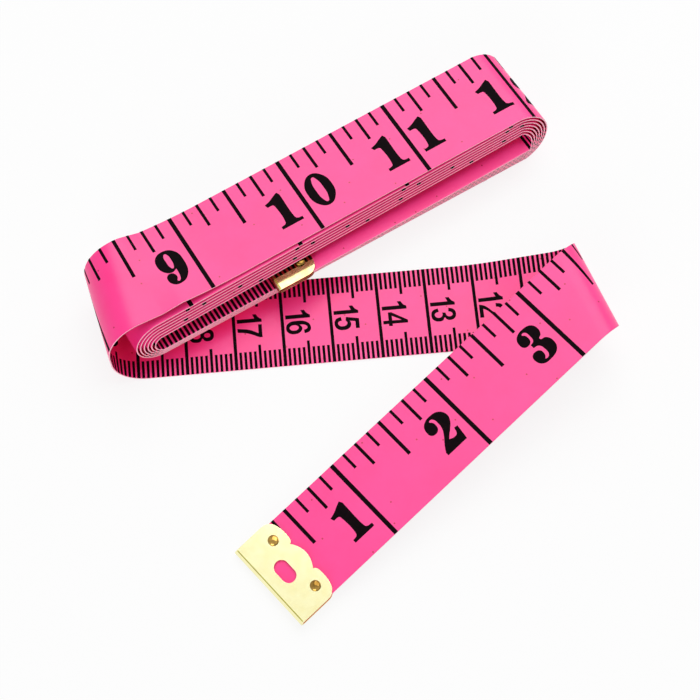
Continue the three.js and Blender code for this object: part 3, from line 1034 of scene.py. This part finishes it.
@dataclass
class StripPiece:
    """A closed stretch of the strip, with rounded edges and a map of its flat sizes."""

    strip: Strip
    zone: Zone
    sharpest: float = math.radians(50)

    def lines(self) -> List[Ruling]:
        """Collects the zone's rulings, with long flat stretches divided.

        Returns:
            The rulings, first to last.
        """
        strip, first, last = self.strip, self.zone.first, self.zone.last
        chosen = [strip.line(first), *strip.rulings[first[0] + 1:last[0] + 1]]
        if last[1]:
            chosen.append(strip.line(last))
        divided = [chosen[0]]
        for before, after in zip(chosen, chosen[1:]):
            parts = max(1, math.ceil((after.station - before.station) / strip.sizes.longest_step))
            divided += [before.toward(after, part / parts) for part in range(1, parts + 1)]
        return divided

    def profile(self) -> List[Span]:
        """Goes round the strip's cut end.

        Returns:
            Places across and off the middle surface, in millimetres.
        """
        s = self.strip.sizes
        half, rise, r = s.width / 2, s.thickness / 2, s.edge_round
        corner = [
            (half - r + r * math.sin(angle), rise - r + r * math.cos(angle))
            for angle in (0.0, math.pi / 4, math.pi / 2)
        ]
        flat = half - s.edge_hold
        inner = [flat * (2 * k / (s.inner_points + 1) - 1) for k in range(s.inner_points + 2)]
        upper = [(t, rise) for t in inner] + corner
        side = upper + [(t, -n) for t, n in reversed(corner)]
        lower = [(-t, -rise) for t in inner]
        left = [(-t, -n) for t, n in corner] + [(-t, n) for t, n in reversed(corner)]
        return side + lower + left

    def build(self) -> bpy.types.Object:
        """Makes the stretch, dresses it and lets it move.

        Returns:
            The finished piece.
        """
        half = self.strip.sizes.width / 2
        lines, profile = self.lines(), self.profile()
        around = len(profile)
        points = [
            line.middle + line.half * (t / half) + line.normal * n
            for line in lines for t, n in profile
        ]
        rings = [ring * around for ring in range(len(lines))]
        faces = [
            (low + k, low + (k + 1) % around, high + (k + 1) % around, high + k)
            for low, high in zip(rings, rings[1:]) for k in range(around)
        ]
        faces += [tuple(range(around))[::-1], tuple(range(rings[-1], rings[-1] + around))]
        mesh = make_mesh(self.zone.name + "_strip", points, faces)
        self.map_flat(mesh, lines, profile)
        close_outward(mesh)
        smooth(mesh, self.sharpest)
        piece = add_piece(mesh, VINYL)
        self.zone.attach(piece)
        if self.zone.node:
            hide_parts(self.zone.node)
        return piece

    @staticmethod
    def map_flat(mesh: bpy.types.Mesh, lines: Sequence[Ruling], profile: Sequence[Span]) -> None:
        """Maps each face to its place on the flat strip, in millimetres.

        Args:
            mesh: The stretch's mesh, with its rings in order.
            lines: The rulings of the rings.
            profile: The ring's own points.
        """
        layer = mesh.uv_layers.new(name=FLAT_MAP)
        for loop in mesh.loops:
            ring, k = divmod(loop.vertex_index, len(profile))
            t = profile[k][0]
            layer.data[loop.index].uv = (lines[ring].station + t * lines[ring].slant, t)


BALL_SIX: List[Outline] = [
    [(61, 80), (54, 95), (37, 100), (13, 88), (1, 47), (10, 11), (34, 0), (58, 9), (66, 31), (58, 55),
     (41, 63), (27, 57, 1), (28, 78), (34, 93), (39, 94), (42, 90), (38, 83), (38, 74), (47, 66),
     (57, 69)],
    [(34, 56), (28, 47), (26, 30), (28, 13), (34, 7), (40, 12), (42, 31), (40, 49)],
]
PLAIN_SIX: List[Outline] = [
    [(56, 75, 1), (49, 94), (31, 100), (10, 87), (1, 47), (9, 10), (31, 0), (50, 9), (57, 32), (50, 55),
     (33, 64), (15, 54, 1), (20, 82), (31, 89), (39, 85), (43, 74, 1)],
    [(29, 53), (19, 45), (16, 31), (20, 17), (30, 11), (40, 17), (44, 32), (40, 47)],
]


def turned(outlines: Sequence[Outline]) -> List[Outline]:
    """Turns a numeral upside down in its own place.

    Args:
        outlines: The numeral's outlines.

    Returns:
        The turned outlines.
    """
    span = max(p[0] for p in outlines[0]) + min(p[0] for p in outlines[0])
    return [[(span - p[0], OUTLINE_HEIGHT - p[1], *p[2:]) for p in outline] for outline in outlines]


BALL_NUMERALS: Dict[str, List[Outline]] = {
    "0": [
        [(33, 100), (10, 86), (0, 50), (10, 14), (33, 0), (56, 14), (66, 50), (56, 86)],
        [(33, 92), (25, 80), (21.5, 50), (25, 20), (33, 8), (41, 20), (44.5, 50), (41, 80)],
    ],
    "1": [
        [(41, 100, 1), (45, 92, 1), (45, 17), (48, 10), (62, 7, 1), (62, 0, 1), (4, 0, 1), (4, 7, 1),
         (17, 10), (20, 17), (20, 66), (18, 73), (12, 75), (3, 75, 1), (0, 83, 1), (14, 87), (30, 95)],
    ],
    "2": [
        [(2, 73), (7, 90), (19, 98), (34, 100), (56, 94), (66, 75), (61, 59), (47, 44), (35, 34),
         (27, 26, 1), (41, 21), (51, 23), (57, 38, 1), (65, 37, 1), (60, 0, 1), (1, 0, 1), (1, 7, 1),
         (10, 21), (26, 41), (35, 56), (38, 74), (36, 88), (29, 94), (22, 91), (27, 84), (29, 74),
         (25, 63), (14, 59), (4, 64)],
    ],
    "3": [
        [(3, 76), (8, 91), (19, 98), (33, 100), (55, 94), (62, 77), (57, 62), (46, 54), (61, 46),
         (67, 28), (59, 8), (32, 0), (10, 5), (2, 22), (6, 34), (16, 37), (27, 32), (29, 22), (25, 12),
         (21, 9), (28, 6), (36, 9), (40, 27), (35, 44), (22, 48, 1), (22, 57, 1), (33, 60), (37, 77),
         (35, 90), (28, 94), (22, 91), (27, 85), (29, 76), (26, 65), (15, 61), (6, 65)],
    ],
    "4": [
        [(50, 100, 1), (50, 34, 1), (64, 34, 1), (64, 26, 1), (50, 26, 1), (50, 14), (53, 9),
         (62, 6, 1), (62, 0, 1), (14, 0, 1), (14, 6, 1), (23, 9), (26, 14), (26, 26, 1), (1, 26, 1),
         (1, 33, 1), (42, 100, 1)],
        [(26, 34, 1), (26, 70, 1), (7, 34, 1)],
    ],
    "5": [
        [(10, 100, 1), (32, 95), (56, 100, 1), (54, 84), (42, 77), (17, 81, 1), (16, 62, 1), (34, 67),
         (57, 59), (66, 34), (57, 8), (30, 0), (10, 6), (3, 22), (7, 33), (16, 36), (26, 31), (28, 22),
         (24, 12), (20, 9), (28, 5.5), (37, 9), (41, 33), (37, 55), (28, 60), (19, 57), (13, 50, 1),
         (8, 50, 1)],
    ],
    "6": BALL_SIX,
    "7": [
        [(5, 100, 1), (3, 66, 1), (9, 66, 1), (15, 77), (27, 80), (47, 79, 1), (30, 52), (18, 24),
         (18, 9), (31, 0), (43, 9), (42, 28), (50, 60), (66, 93, 1), (66, 100, 1)],
    ],
    "8": [
        [(33, 100), (11, 94), (4, 77), (10, 62), (20, 54), (7, 45), (0, 27), (9, 6), (33, 0), (58, 7),
         (66, 28), (59, 46), (46, 55), (57, 64), (62, 78), (55, 94)],
        [(33, 94), (27, 89), (26, 79), (33, 69), (39, 64), (41, 76), (39, 90)],
        [(33, 6), (25, 11), (22, 26), (27, 44), (36, 38), (44, 28), (44, 16), (40, 8)],
    ],
    "9": turned(BALL_SIX),
}

PLAIN_NUMERALS: Dict[str, List[Outline]] = {
    "0": [
        [(29, 100), (9, 88), (1, 50), (9, 12), (29, 0), (49, 12), (57, 50), (49, 88)],
        [(29, 89), (18, 80), (15, 50), (18, 20), (29, 11), (40, 20), (43, 50), (40, 80)],
    ],
    "1": [
        [(38, 100, 1), (38, 0, 1), (24, 0, 1), (24, 74, 1), (5, 66, 1), (5, 78, 1), (20, 88),
         (28, 100, 1)],
    ],
    "2": [
        [(2, 70, 1), (8, 91), (30, 100), (50, 93), (57, 73), (50, 55), (32, 37), (20, 20), (18, 13, 1),
         (57, 13, 1), (57, 0, 1), (1, 0, 1), (6, 18), (22, 38), (38, 54), (44, 72), (40, 84), (30, 89),
         (19, 84), (15, 70, 1)],
    ],
    "3": [
        [(2, 74, 1), (10, 93), (28, 100), (46, 94), (54, 76), (50, 62), (40, 53), (53, 45), (57, 29),
         (50, 8), (28, 0), (9, 7), (1, 27, 1), (14, 29, 1), (18, 16), (28, 11), (39, 16), (44, 29),
         (39, 42), (28, 47), (21, 46, 1), (22, 57, 1), (36, 62), (41, 75), (37, 85), (28, 89), (19, 84),
         (15, 72, 1)],
    ],
    "4": [
        [(37, 0, 1), (37, 23, 1), (0, 23, 1), (0, 35, 1), (39, 100, 1), (49, 100, 1), (49, 35, 1),
         (59, 35, 1), (59, 23, 1), (49, 23, 1), (49, 0, 1)],
        [(37, 35, 1), (37, 78, 1), (12, 35, 1)],
    ],
    "5": [
        [(1, 26, 1), (15, 28, 1), (19, 16), (28, 11), (40, 18), (44, 33), (39, 48), (28, 54),
         (16, 47, 1), (3, 49, 1), (13, 100, 1), (54, 100, 1), (54, 87, 1), (22, 87, 1), (18, 61, 1),
         (33, 66), (51, 57), (58, 34), (51, 10), (28, 0), (9, 7)],
    ],
    "6": PLAIN_SIX,
    "7": [
        [(2, 99, 1), (2, 87, 1), (43, 87, 1), (24, 50), (15, 0, 1), (29, 0, 1), (36, 42), (57, 89, 1),
         (57, 99, 1)],
    ],
    "8": [
        [(29, 100), (11, 94), (4, 76), (8, 62), (18, 54), (5, 45), (1, 28), (8, 8), (29, 0), (50, 8),
         (57, 28), (53, 45), (40, 54), (50, 62), (54, 76), (47, 94)],
        [(29, 89), (20, 85), (17, 75), (20, 64), (29, 59), (38, 64), (41, 75), (38, 85)],
        [(29, 48), (18, 42), (14, 29), (18, 16), (29, 11), (40, 16), (44, 29), (40, 42)],
    ],
    "9": turned(PLAIN_SIX),
}


@dataclass(frozen=True)
class Numerals:
    """A set of ten numerals. A point of an outline is smooth, unless a third entry makes it a corner."""

    outlines: Dict[str, List[Outline]]
    height: float
    weight: float
    resolution: int = 5
    sharpest_meet: float = 0.5
    merge_distance: float = 1e-4

    def moved(self, outline: Outline, distance: float) -> np.ndarray:
        """Moves an outline's points outwards.

        Args:
            outline: The outline.
            distance: How far they move. A negative number moves them inwards.

        Returns:
            The moved points.
        """
        points = np.array([place[:2] for place in outline], dtype=float)
        following = np.roll(points, -1, axis=0)
        step = following - points
        step /= np.linalg.norm(step, axis=1, keepdims=True)
        after = np.column_stack([step[:, 1], -step[:, 0]])
        before = np.roll(after, 1, axis=0)
        area = (points[:, 0] * following[:, 1] - points[:, 1] * following[:, 0]).sum()
        meet = np.maximum(1 + (before * after).sum(axis=1, keepdims=True), self.sharpest_meet)
        return points + math.copysign(distance, distance * area) * (before + after) / meet

    def flat(self, digit: str) -> Flat:
        """Draws a numeral as a filled flat shape.

        Args:
            digit: One of the ten numerals.

        Returns:
            Points in millimetres, with the numeral's foot on the line, and faces.
        """
        curve = bpy.data.curves.new("numeral", "CURVE")
        curve.dimensions = "2D"
        curve.fill_mode = "FRONT"
        curve.resolution_u = self.resolution
        scale = self.height / (OUTLINE_HEIGHT + 2 * self.weight)
        for number, outline in enumerate(self.outlines[digit]):
            places = (self.moved(outline, -self.weight if number else self.weight) + self.weight) * scale
            spline = curve.splines.new("BEZIER")
            spline.bezier_points.add(len(outline) - 1)
            spline.use_cyclic_u = True
            for point, place, entry in zip(spline.bezier_points, places, outline):
                point.co = (place[0], place[1], 0.0)
                kind = "VECTOR" if len(entry) > 2 else "AUTO"
                point.handle_left_type = point.handle_right_type = kind
        return self.filled(curve)

    def filled(self, curve: bpy.types.Curve) -> Flat:
        """Turns a flat curve into points and faces.

        Args:
            curve: The curve, which is used up.

        Returns:
            Points across and up the numeral, and faces.
        """
        holder = bpy.data.objects.new(curve.name, curve)
        bpy.context.collection.objects.link(holder)
        bpy.context.view_layer.update()
        evaluated = holder.evaluated_get(bpy.context.evaluated_depsgraph_get())
        mesh = bpy.data.meshes.new_from_object(evaluated)
        bm = bmesh.new()
        bm.from_mesh(mesh)
        bmesh.ops.remove_doubles(bm, verts=bm.verts, dist=self.merge_distance)
        bm.verts.ensure_lookup_table()
        points = np.array([v.co[:2] for v in bm.verts])
        faces = [[v.index for v in f.verts] for f in bm.faces]
        bm.free()
        bpy.data.objects.remove(holder)
        bpy.data.meshes.remove(mesh)
        bpy.data.curves.remove(curve)
        return points, faces


@dataclass(frozen=True)
class Mark:
    """A kind of mark on a scale: how far it reaches in from the edge, and how thick it is."""

    reach: float
    width: float


@dataclass
class Scales:
    """The printed scales on both faces of the strip, as flat shapes in millimetres.

    A mark within an inch goes by the largest part of it, in eighths, that divides its place.
    """

    sizes: StripSizes
    first_mark: float = 9.0
    last_inch: int = 60
    last_centimetre: int = 149
    last_numeral: float = 430.0
    edge_inset: float = 0.03
    row_height: float = 1.6
    eighth: Mark = Mark(3.75, 0.6)
    quarter: Mark = Mark(5.75, 0.65)
    half: Mark = Mark(9.2, 0.75)
    inch_line: float = 0.9
    inch_numeral_foot: float = 4.15
    inch_numeral_before: float = 2.05
    inch_numeral_after: float = 1.35
    millimetre: Mark = Mark(3.8, 0.55)
    five: Mark = Mark(5.2, 0.58)
    centimetre_line: float = 0.68
    centimetre_numeral_gap: float = 0.7
    centimetre_numeral_space: float = 0.55
    inch_numerals: Numerals = Numerals(BALL_NUMERALS, 8.4, 0.9)
    centimetre_numerals: Numerals = Numerals(PLAIN_NUMERALS, 5.1, 1.6, 4)

    @property
    def edge(self) -> float:
        """How far from the strip's middle line the print reaches."""
        return self.sizes.width / 2 - self.edge_inset

    def tick(self, station: float, width: float, low: float, high: float) -> Flat:
        """Draws a straight mark across the strip.

        Args:
            station: Its middle, along the strip.
            width: How thick it is.
            low: Its lower end, across the strip.
            high: Its upper end.

        Returns:
            Points and faces.
        """
        rows = max(1, math.ceil((high - low) / self.row_height))
        points = [
            (station + width * side / 2, low + (high - low) * row / rows)
            for row in range(rows + 1) for side in (-1, 0, 1)
        ]
        faces = [
            [3 * row + k, 3 * row + k + 1, 3 * row + k + 4, 3 * row + k + 3]
            for row in range(rows) for k in (0, 1)
        ]
        return np.array(points), faces

    def inch_face(self) -> List[Flat]:
        """Draws the marks and numbers of the inch scale.

        Returns:
            Flat shapes, each as points and faces.
        """
        marks = {1: self.eighth, 2: self.quarter, 4: self.half}
        shapes: List[Flat] = []
        for eighth in range(1, self.last_inch * EIGHTHS + 1):
            station = eighth * INCH / EIGHTHS
            if station < self.first_mark:
                continue
            counted = math.gcd(eighth, EIGHTHS)
            if counted < EIGHTHS:
                mark = marks[counted]
                shapes.append(self.tick(station, mark.width, self.edge - mark.reach, self.edge))
                continue
            shapes.append(self.tick(station, self.inch_line, -self.edge, self.edge))
            if station < self.last_numeral:
                shapes += self.inch_number(eighth // EIGHTHS)
        return shapes

    def inch_number(self, inches: int) -> List[Flat]:
        """Draws the number at an inch line: one numeral before it, and a second one after it.

        Args:
            inches: The number.

        Returns:
            Flat shapes.
        """
        shapes = []
        foot = self.inch_numeral_foot - self.sizes.width / 2
        for place, digit in enumerate(str(inches)):
            points, faces = self.inch_numerals.flat(digit)
            if place == 0:
                shift = inches * INCH - self.inch_numeral_before - points[:, 0].max()
            else:
                shift = inches * INCH + self.inch_numeral_after - points[:, 0].min()
            shapes.append((points + np.array([shift, foot]), faces))
        return shapes

    def centimetre_face(self) -> List[Flat]:
        """Draws the marks and numbers of the centimetre scale.

        Returns:
            Flat shapes, each as points and faces.
        """
        edge = self.edge
        shapes: List[Flat] = []
        for millimetre in range(math.ceil(self.first_mark), self.last_centimetre * CENTIMETRE + 1):
            if millimetre % CENTIMETRE:
                mark = self.millimetre if millimetre % (CENTIMETRE // 2) else self.five
                shapes.append(self.tick(millimetre, mark.width, edge - mark.reach, edge))
                shapes.append(self.tick(millimetre, mark.width, -edge, mark.reach - edge))
                continue
            shapes.append(self.tick(millimetre, self.centimetre_line, -edge, edge))
            if millimetre < self.last_numeral:
                shapes += self.centimetre_number(millimetre // CENTIMETRE)
        return shapes

    def centimetre_number(self, centimetres: int) -> List[Flat]:
        """Draws the number at a centimetre line. It reads across the strip, with its top towards zero.

        Args:
            centimetres: The number.

        Returns:
            Flat shapes.
        """
        glyphs = [self.centimetre_numerals.flat(digit) for digit in str(centimetres)]
        widths = [float(np.ptp(points[:, 0])) for points, _ in glyphs]
        reach = -(sum(widths) + self.centimetre_numeral_space * (len(glyphs) - 1)) / 2
        foot = centimetres * CENTIMETRE - self.centimetre_numeral_gap
        shapes = []
        for (points, faces), width in zip(glyphs, widths):
            across = -(points[:, 0] - points[:, 0].min() + reach)
            shapes.append((np.column_stack([foot - points[:, 1], across]), faces))
            reach += width + self.centimetre_numeral_space
        return shapes


@dataclass
class PrintPiece:
    """The ink on both faces of one zone of the strip, as a thin layer, in millimetres."""

    strip: Strip
    zone: Zone
    shapes: Dict[Face, List[Flat]]
    sunk: float = 0.01
    proud: float = 0.02
    widest_uncut: float = 1.0
    cut_tolerance: float = 1e-5

    def cut(self, shape: Flat, begin: Ruling, end: Ruling) -> Optional[Flat]:
        """Keeps the part of a shape that lies in the zone.

        Args:
            shape: The flat shape.
            begin: The zone's first line.
            end: The zone's last line.

        Returns:
            What is left of the shape, or nothing.
        """
        points, faces = shape
        after = points[:, 0] - begin.station - points[:, 1] * begin.slant
        before = end.station + points[:, 1] * end.slant - points[:, 0]
        if after.max() <= 0 or before.max() <= 0:
            return None
        wide = float(np.ptp(points[:, 0])) > self.widest_uncut
        if after.min() >= 0 and before.min() >= 0 and not wide:
            return shape
        bm = bmesh.new()
        verts = [bm.verts.new((p[0], p[1], 0.0)) for p in points]
        for face in faces:
            bm.faces.new([verts[k] for k in face])
        self.bisect(bm, begin, drop_before=True)
        self.bisect(bm, end, drop_after=True)
        if wide:
            lines = points[:, :1] - points[:, 1:] * self.strip.slant[None, :]
            crossed = (lines.min(axis=0) < self.strip.station) & (lines.max(axis=0) > self.strip.station)
            for number in np.flatnonzero(crossed):
                self.bisect(bm, self.strip.rulings[number])
        bm.verts.index_update()
        kept = (np.array([v.co[:2] for v in bm.verts]), [[v.index for v in f.verts] for f in bm.faces])
        bm.free()
        return kept if kept[1] else None

    def bisect(
        self, bm: bmesh.types.BMesh, line: Ruling, drop_before: bool = False, drop_after: bool = False,
    ) -> None:
        """Cuts a flat mesh along a line across the strip.

        Args:
            bm: The mesh.
            line: The line.
            drop_before: Whether the part before the line goes.
            drop_after: Whether the part after the line goes.
        """
        bmesh.ops.bisect_plane(
            bm, geom=[*bm.verts, *bm.edges, *bm.faces], dist=self.cut_tolerance,
            plane_co=(line.station, 0.0, 0.0), plane_no=(1.0, -line.slant, 0.0),
            clear_inner=drop_before, clear_outer=drop_after,
        )

    def build(self) -> Optional[bpy.types.Object]:
        """Makes the ink of the zone as one piece.

        Returns:
            The piece, or nothing where the zone is bare.
        """
        begin, end = self.strip.line(self.zone.first), self.strip.line(self.zone.last)
        points: List[np.ndarray] = []
        faces: Polygons = []
        for face, shapes in self.shapes.items():
            for shape in shapes:
                kept = self.cut(shape, begin, end)
                if kept is None:
                    continue
                solid_points, solid_faces = self.raise_ink(kept, face)
                first = len(points)
                faces += [[first + k for k in polygon] for polygon in solid_faces]
                points += [*solid_points]
        if not points:
            return None
        mesh = make_mesh(self.zone.name + "_print", points, faces)
        close_outward(mesh)
        piece = add_piece(mesh, INK)
        self.zone.attach(piece)
        return piece

    def raise_ink(self, shape: Flat, face: Face) -> Flat:
        """Lays a flat shape on a face of the strip, as a thin closed layer.

        Args:
            shape: The flat shape.
            face: The face that it is printed on.

        Returns:
            Points in millimetres, and faces.
        """
        flat, polygons = shape
        places, normals = self.strip.at(flat)
        side = face.value
        rise = self.strip.sizes.thickness / 2
        under = places + normals * side * (rise - self.sunk)
        over = places + normals * side * (rise + self.proud)
        count = len(flat)
        rim: Dict[Tuple[int, int], Tuple[int, int]] = {}
        for polygon in polygons:
            for a, b in zip(polygon, polygon[1:] + polygon[:1]):
                key = (min(a, b), max(a, b))
                if key in rim:
                    del rim[key]
                else:
                    rim[key] = (a, b)
        faces = [[k + count for k in polygon] for polygon in polygons]
        faces += [polygon[::-1] for polygon in polygons]
        faces += [[a, b, b + count, a + count] for a, b in rim.values()]
        return np.concatenate([under, over]), faces


@dataclass
class Tape:
    """The printed strip, from its zero end to the end inside the winding."""

    route: Route
    strip: Strip
    fold_blend: Span = (3.4, 12.8)
    loop_blend: Span = (1.5, 12.0)
    tail_seam: float = 0.97
    rise_seam: float = 0.5
    run_seam: float = 0.96
    top_seam: float = 0.04

    def zones(self) -> List[Zone]:
        """Divides the strip where it goes from one moving part to the next.

        Returns:
            The zones in order.
        """
        seams = self.route.seams
        start, end = (0, 0.0), (seams[Seam.STRIP_END], 0.0)
        tail, rise = (0, self.tail_seam), (seams[Seam.FOLD_END], self.rise_seam)
        run, top = (seams[Seam.RISE_END], self.run_seam), (seams[Seam.WINDING], self.top_seam)
        over_fold, over_loop = (Body.RUN, Body.TAIL), (Body.RUN, Body.WINDING)
        on_run = ("run_strip",)
        return [
            Zone("tail", start, tail, (Body.TAIL,), Hold.LAID, "tape_tail", ("start_clip",)),
            Zone("fold", tail, rise, over_fold, Hold.FOLDED, None, on_run, self.fold_blend),
            Zone("run", rise, run, (Body.RUN,), Hold.LAID, "tape_run"),
            Zone("loop", run, top, over_loop, Hold.FOLDED, None, on_run, self.loop_blend),
            Zone("winding", top, end, (Body.WINDING,), Hold.FOLDED, "tape_winding", on_run),
        ]

    def build(self) -> List[bpy.types.Object]:
        """Returns:
            The pieces, first to last.
        """
        sizes = self.strip.sizes
        scales = Scales(sizes)
        shapes = {Face.INCH: scales.inch_face(), Face.CENTIMETRE: scales.centimetre_face()}
        pieces: List[bpy.types.Object] = []
        for zone in self.zones():
            piece = StripPiece(self.strip, zone).build()
            ink = PrintPiece(self.strip, zone, shapes).build()
            with_pieces = [ink] if ink else []
            length = self.strip.line(zone.last).station - self.strip.line(zone.first).station
            pieces += [piece, *with_pieces]
        return pieces


@dataclass
class EndFitting:
    """A brass clip with a dark line along its fold and its two rivets, on one end of the strip.

    Lengths are in millimetres, and angles in radians.
    """

    strip: Strip
    end: End
    body: Body
    brass: BrassFinish
    clip_round: float = 0.07
    rivet_round: float = 0.06
    rounding_steps: int = 2
    sharpest: float = math.radians(40)
    flat_within: float = math.radians(1)
    weld_distance: float = 0.001
    line_width: float = 0.2
    line_length: float = 19.3
    line_height: float = 0.02

    @property
    def fold_at(self) -> float:
        """Station of the clip's fold."""
        s = self.strip.sizes
        return s.clip_half if self.end is End.ZERO else s.length - s.clip_half

    def build(self) -> List[bpy.types.Object]:
        """Rounds and dresses the clip and its rivets, and lays a dark line along the clip's fold.

        Returns:
            The clip, its rivets and its fold line.
        """
        pieces = [self.dress(f"{self.end.value}_clip", self.brass, self.clip_round)]
        for side in ("near", "far"):
            pieces.append(self.dress(f"{self.end.value}_rivet_{side}", RIVET_BRASS, self.rivet_round))
        return [*pieces, self.score()]

    def score(self) -> bpy.types.Object:
        """Draws a dark line along the clip's fold, on both of its plates.

        Returns:
            The line's piece.
        """
        corners = np.array([(-1, -1), (1, -1), (1, 1), (-1, 1)])
        reach = np.array([self.line_width / 2, self.line_length / 2])
        flat = corners * reach + np.array([self.fold_at, 0.0])
        places, normals = self.strip.at(flat)
        ring = [[k, (k + 1) % 4, (k + 1) % 4 + 4, k + 4] for k in range(4)]
        block = [[3, 2, 1, 0], [4, 5, 6, 7], *ring]
        plate = self.strip.sizes.clip_half
        points: List[np.ndarray] = []
        faces: Polygons = []
        for face in Face:
            faces += [[len(points) + k for k in polygon] for polygon in block]
            for rise in (plate - self.line_height, plate + self.line_height):
                points += [*(places + normals * face.value * rise)]
        mesh = make_mesh(f"{self.end.value}_clip_fold_line", points, faces)
        close_outward(mesh)
        piece = add_piece(mesh, FOLD_LINE_BRASS)
        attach(piece, self.body.value)
        return piece

    def dress(self, node: str, finish: Finish, radius: float) -> bpy.types.Object:
        """Gives a solid of the frame rounded edges and a finish.

        Args:
            node: The solid's name.
            finish: Its finish.
            radius: Radius of its edges, in millimetres.

        Returns:
            The solid.
        """
        piece = frame["nodes"][node]
        weld = piece.modifiers.new("joined_corners", "WELD")
        weld.merge_threshold = self.weld_distance * MM
        plates = piece.modifiers.new("whole_plates", "DECIMATE")
        plates.decimate_type = "DISSOLVE"
        plates.angle_limit = self.flat_within
        bevel = piece.modifiers.new("rounded_edges", "BEVEL")
        bevel.width = radius * MM
        bevel.segments = self.rounding_steps
        bevel.limit_method = "ANGLE"
        bevel.angle_limit = self.sharpest
        even = piece.modifiers.new("even_plates", "WEIGHTED_NORMAL")
        even.keep_sharp = True
        smooth(piece.data, self.sharpest)
        piece.data.materials.clear()
        piece.data.materials.append(finish.material())
        return piece


@dataclass(frozen=True)
class Lamp:
    """A soft square lamp that shines on the object, in metres and watts."""

    name: str
    place: Triple
    size: float
    power: float

    def hang(self) -> None:
        """Makes the lamp and turns it to the object."""
        light = bpy.data.lights.new(self.name, "AREA")
        light.size = self.size
        light.energy = self.power
        lamp = bpy.data.objects.new(self.name, light)
        lamp.location = self.place
        lamp.rotation_euler = Vector(self.place).to_track_quat("Z", "Y").to_euler()
        bpy.context.collection.objects.link(lamp)


@dataclass
class Studio:
    """White paper sweep, soft lamps and the camera.

    Lengths are in millimetres, apart from those in pixels of the picture, and angles in radians.
    """

    floor_half: float = 3000.0
    floor_drop: float = 0.1
    picture_pixels: float = 700.0
    sensor_width: float = 36.0
    focal_pixels: float = 1798.4
    azimuth: float = math.radians(-3.451)
    elevation: float = math.radians(67.47)
    roll: float = math.radians(-1.88)
    target: Triple = (-0.66, -1.91, 0.0)
    distance: float = 367.86
    nearest: float = 10.0
    world_strength: float = 0.24
    key: Lamp = Lamp("key_lamp", (0.2, 0.42, 0.75), 1.0, 7.8)
    fill: Lamp = Lamp("fill_lamp", (-0.3, -0.65, 0.2), 0.5, 2.8)

    def build(self) -> None:
        """Makes the floor, the lamps, the surroundings and the camera."""
        self.floor()
        self.key.hang()
        self.fill.hang()
        self.surroundings()
        self.camera()
        bpy.context.scene.view_settings.view_transform = "Standard"

    def floor(self) -> None:
        """Lays the paper under the object."""
        corners = np.array([(-1, -1), (1, -1), (1, 1), (-1, 1)]) * self.floor_half
        points = [np.array([x, y, -self.floor_drop]) for x, y in corners]
        add_piece(make_mesh("paper_floor", points, [(0, 1, 2, 3)]), PAPER)

    def surroundings(self) -> None:
        """Surrounds the object with even white light, and shows plain white behind it."""
        world = bpy.data.worlds.new("white_room")
        world.use_nodes = True
        tree = world.node_tree
        lit, shown = tree.nodes["Background"], tree.nodes.new("ShaderNodeBackground")
        for background, strength in ((lit, self.world_strength), (shown, 1.0)):
            background.inputs["Color"].default_value = WHITE
            background.inputs["Strength"].default_value = strength
        room = shared(tree, seen_rays(tree), lit.outputs["Background"], shown.outputs["Background"])
        tree.links.new(room, tree.nodes["World Output"].inputs["Surface"])
        bpy.context.scene.world = world

    def camera(self) -> None:
        """Sets the camera at the photograph's viewing angle."""
        back = Vector((
            math.sin(self.azimuth) * math.cos(self.elevation),
            -math.cos(self.azimuth) * math.cos(self.elevation),
            math.sin(self.elevation),
        ))
        right = Vector((math.cos(self.azimuth), math.sin(self.azimuth), 0.0))
        up = back.cross(right)
        side = right * math.cos(self.roll) + up * math.sin(self.roll)
        over = up * math.cos(self.roll) - right * math.sin(self.roll)
        lens = bpy.data.cameras.new("camera")
        lens.sensor_width = self.sensor_width
        lens.lens = self.focal_pixels / self.picture_pixels * self.sensor_width
        lens.clip_start = self.nearest * MM
        camera = bpy.data.objects.new("camera", lens)
        spot = Vector(self.target) + back * self.distance
        turned_to = Matrix((side, over, back)).transposed().to_4x4()
        camera.matrix_world = Matrix.Translation(spot * MM) @ turned_to
        bpy.context.collection.objects.link(camera)
        bpy.context.scene.camera = camera


def main() -> None:
    """Builds the studio, the tape and its end fittings, and reports each piece."""
    logging.basicConfig(level=logging.INFO, format="%(name)s %(message)s")
    Studio().build()
    route = Route()
    strip = route.lay_out()
    assemblies = [
        Tape(route, strip),
        EndFitting(strip, End.ZERO, Body.TAIL, BRASS),
        # The far clip takes the brass painted darker as shade.
        EndFitting(strip, End.FAR, Body.WINDING, FAR_CLIP_PAINTED_SHADE_BRASS),
    ]
    for assembly in assemblies:
        for piece in assembly.build():
            finish = piece.data.materials[0].name
            LOG.info("%s: %d faces in %s", piece.name, len(piece.data.polygons), finish)
    bpy.context.view_layer.update()


if __name__ == "__main__":
    main()
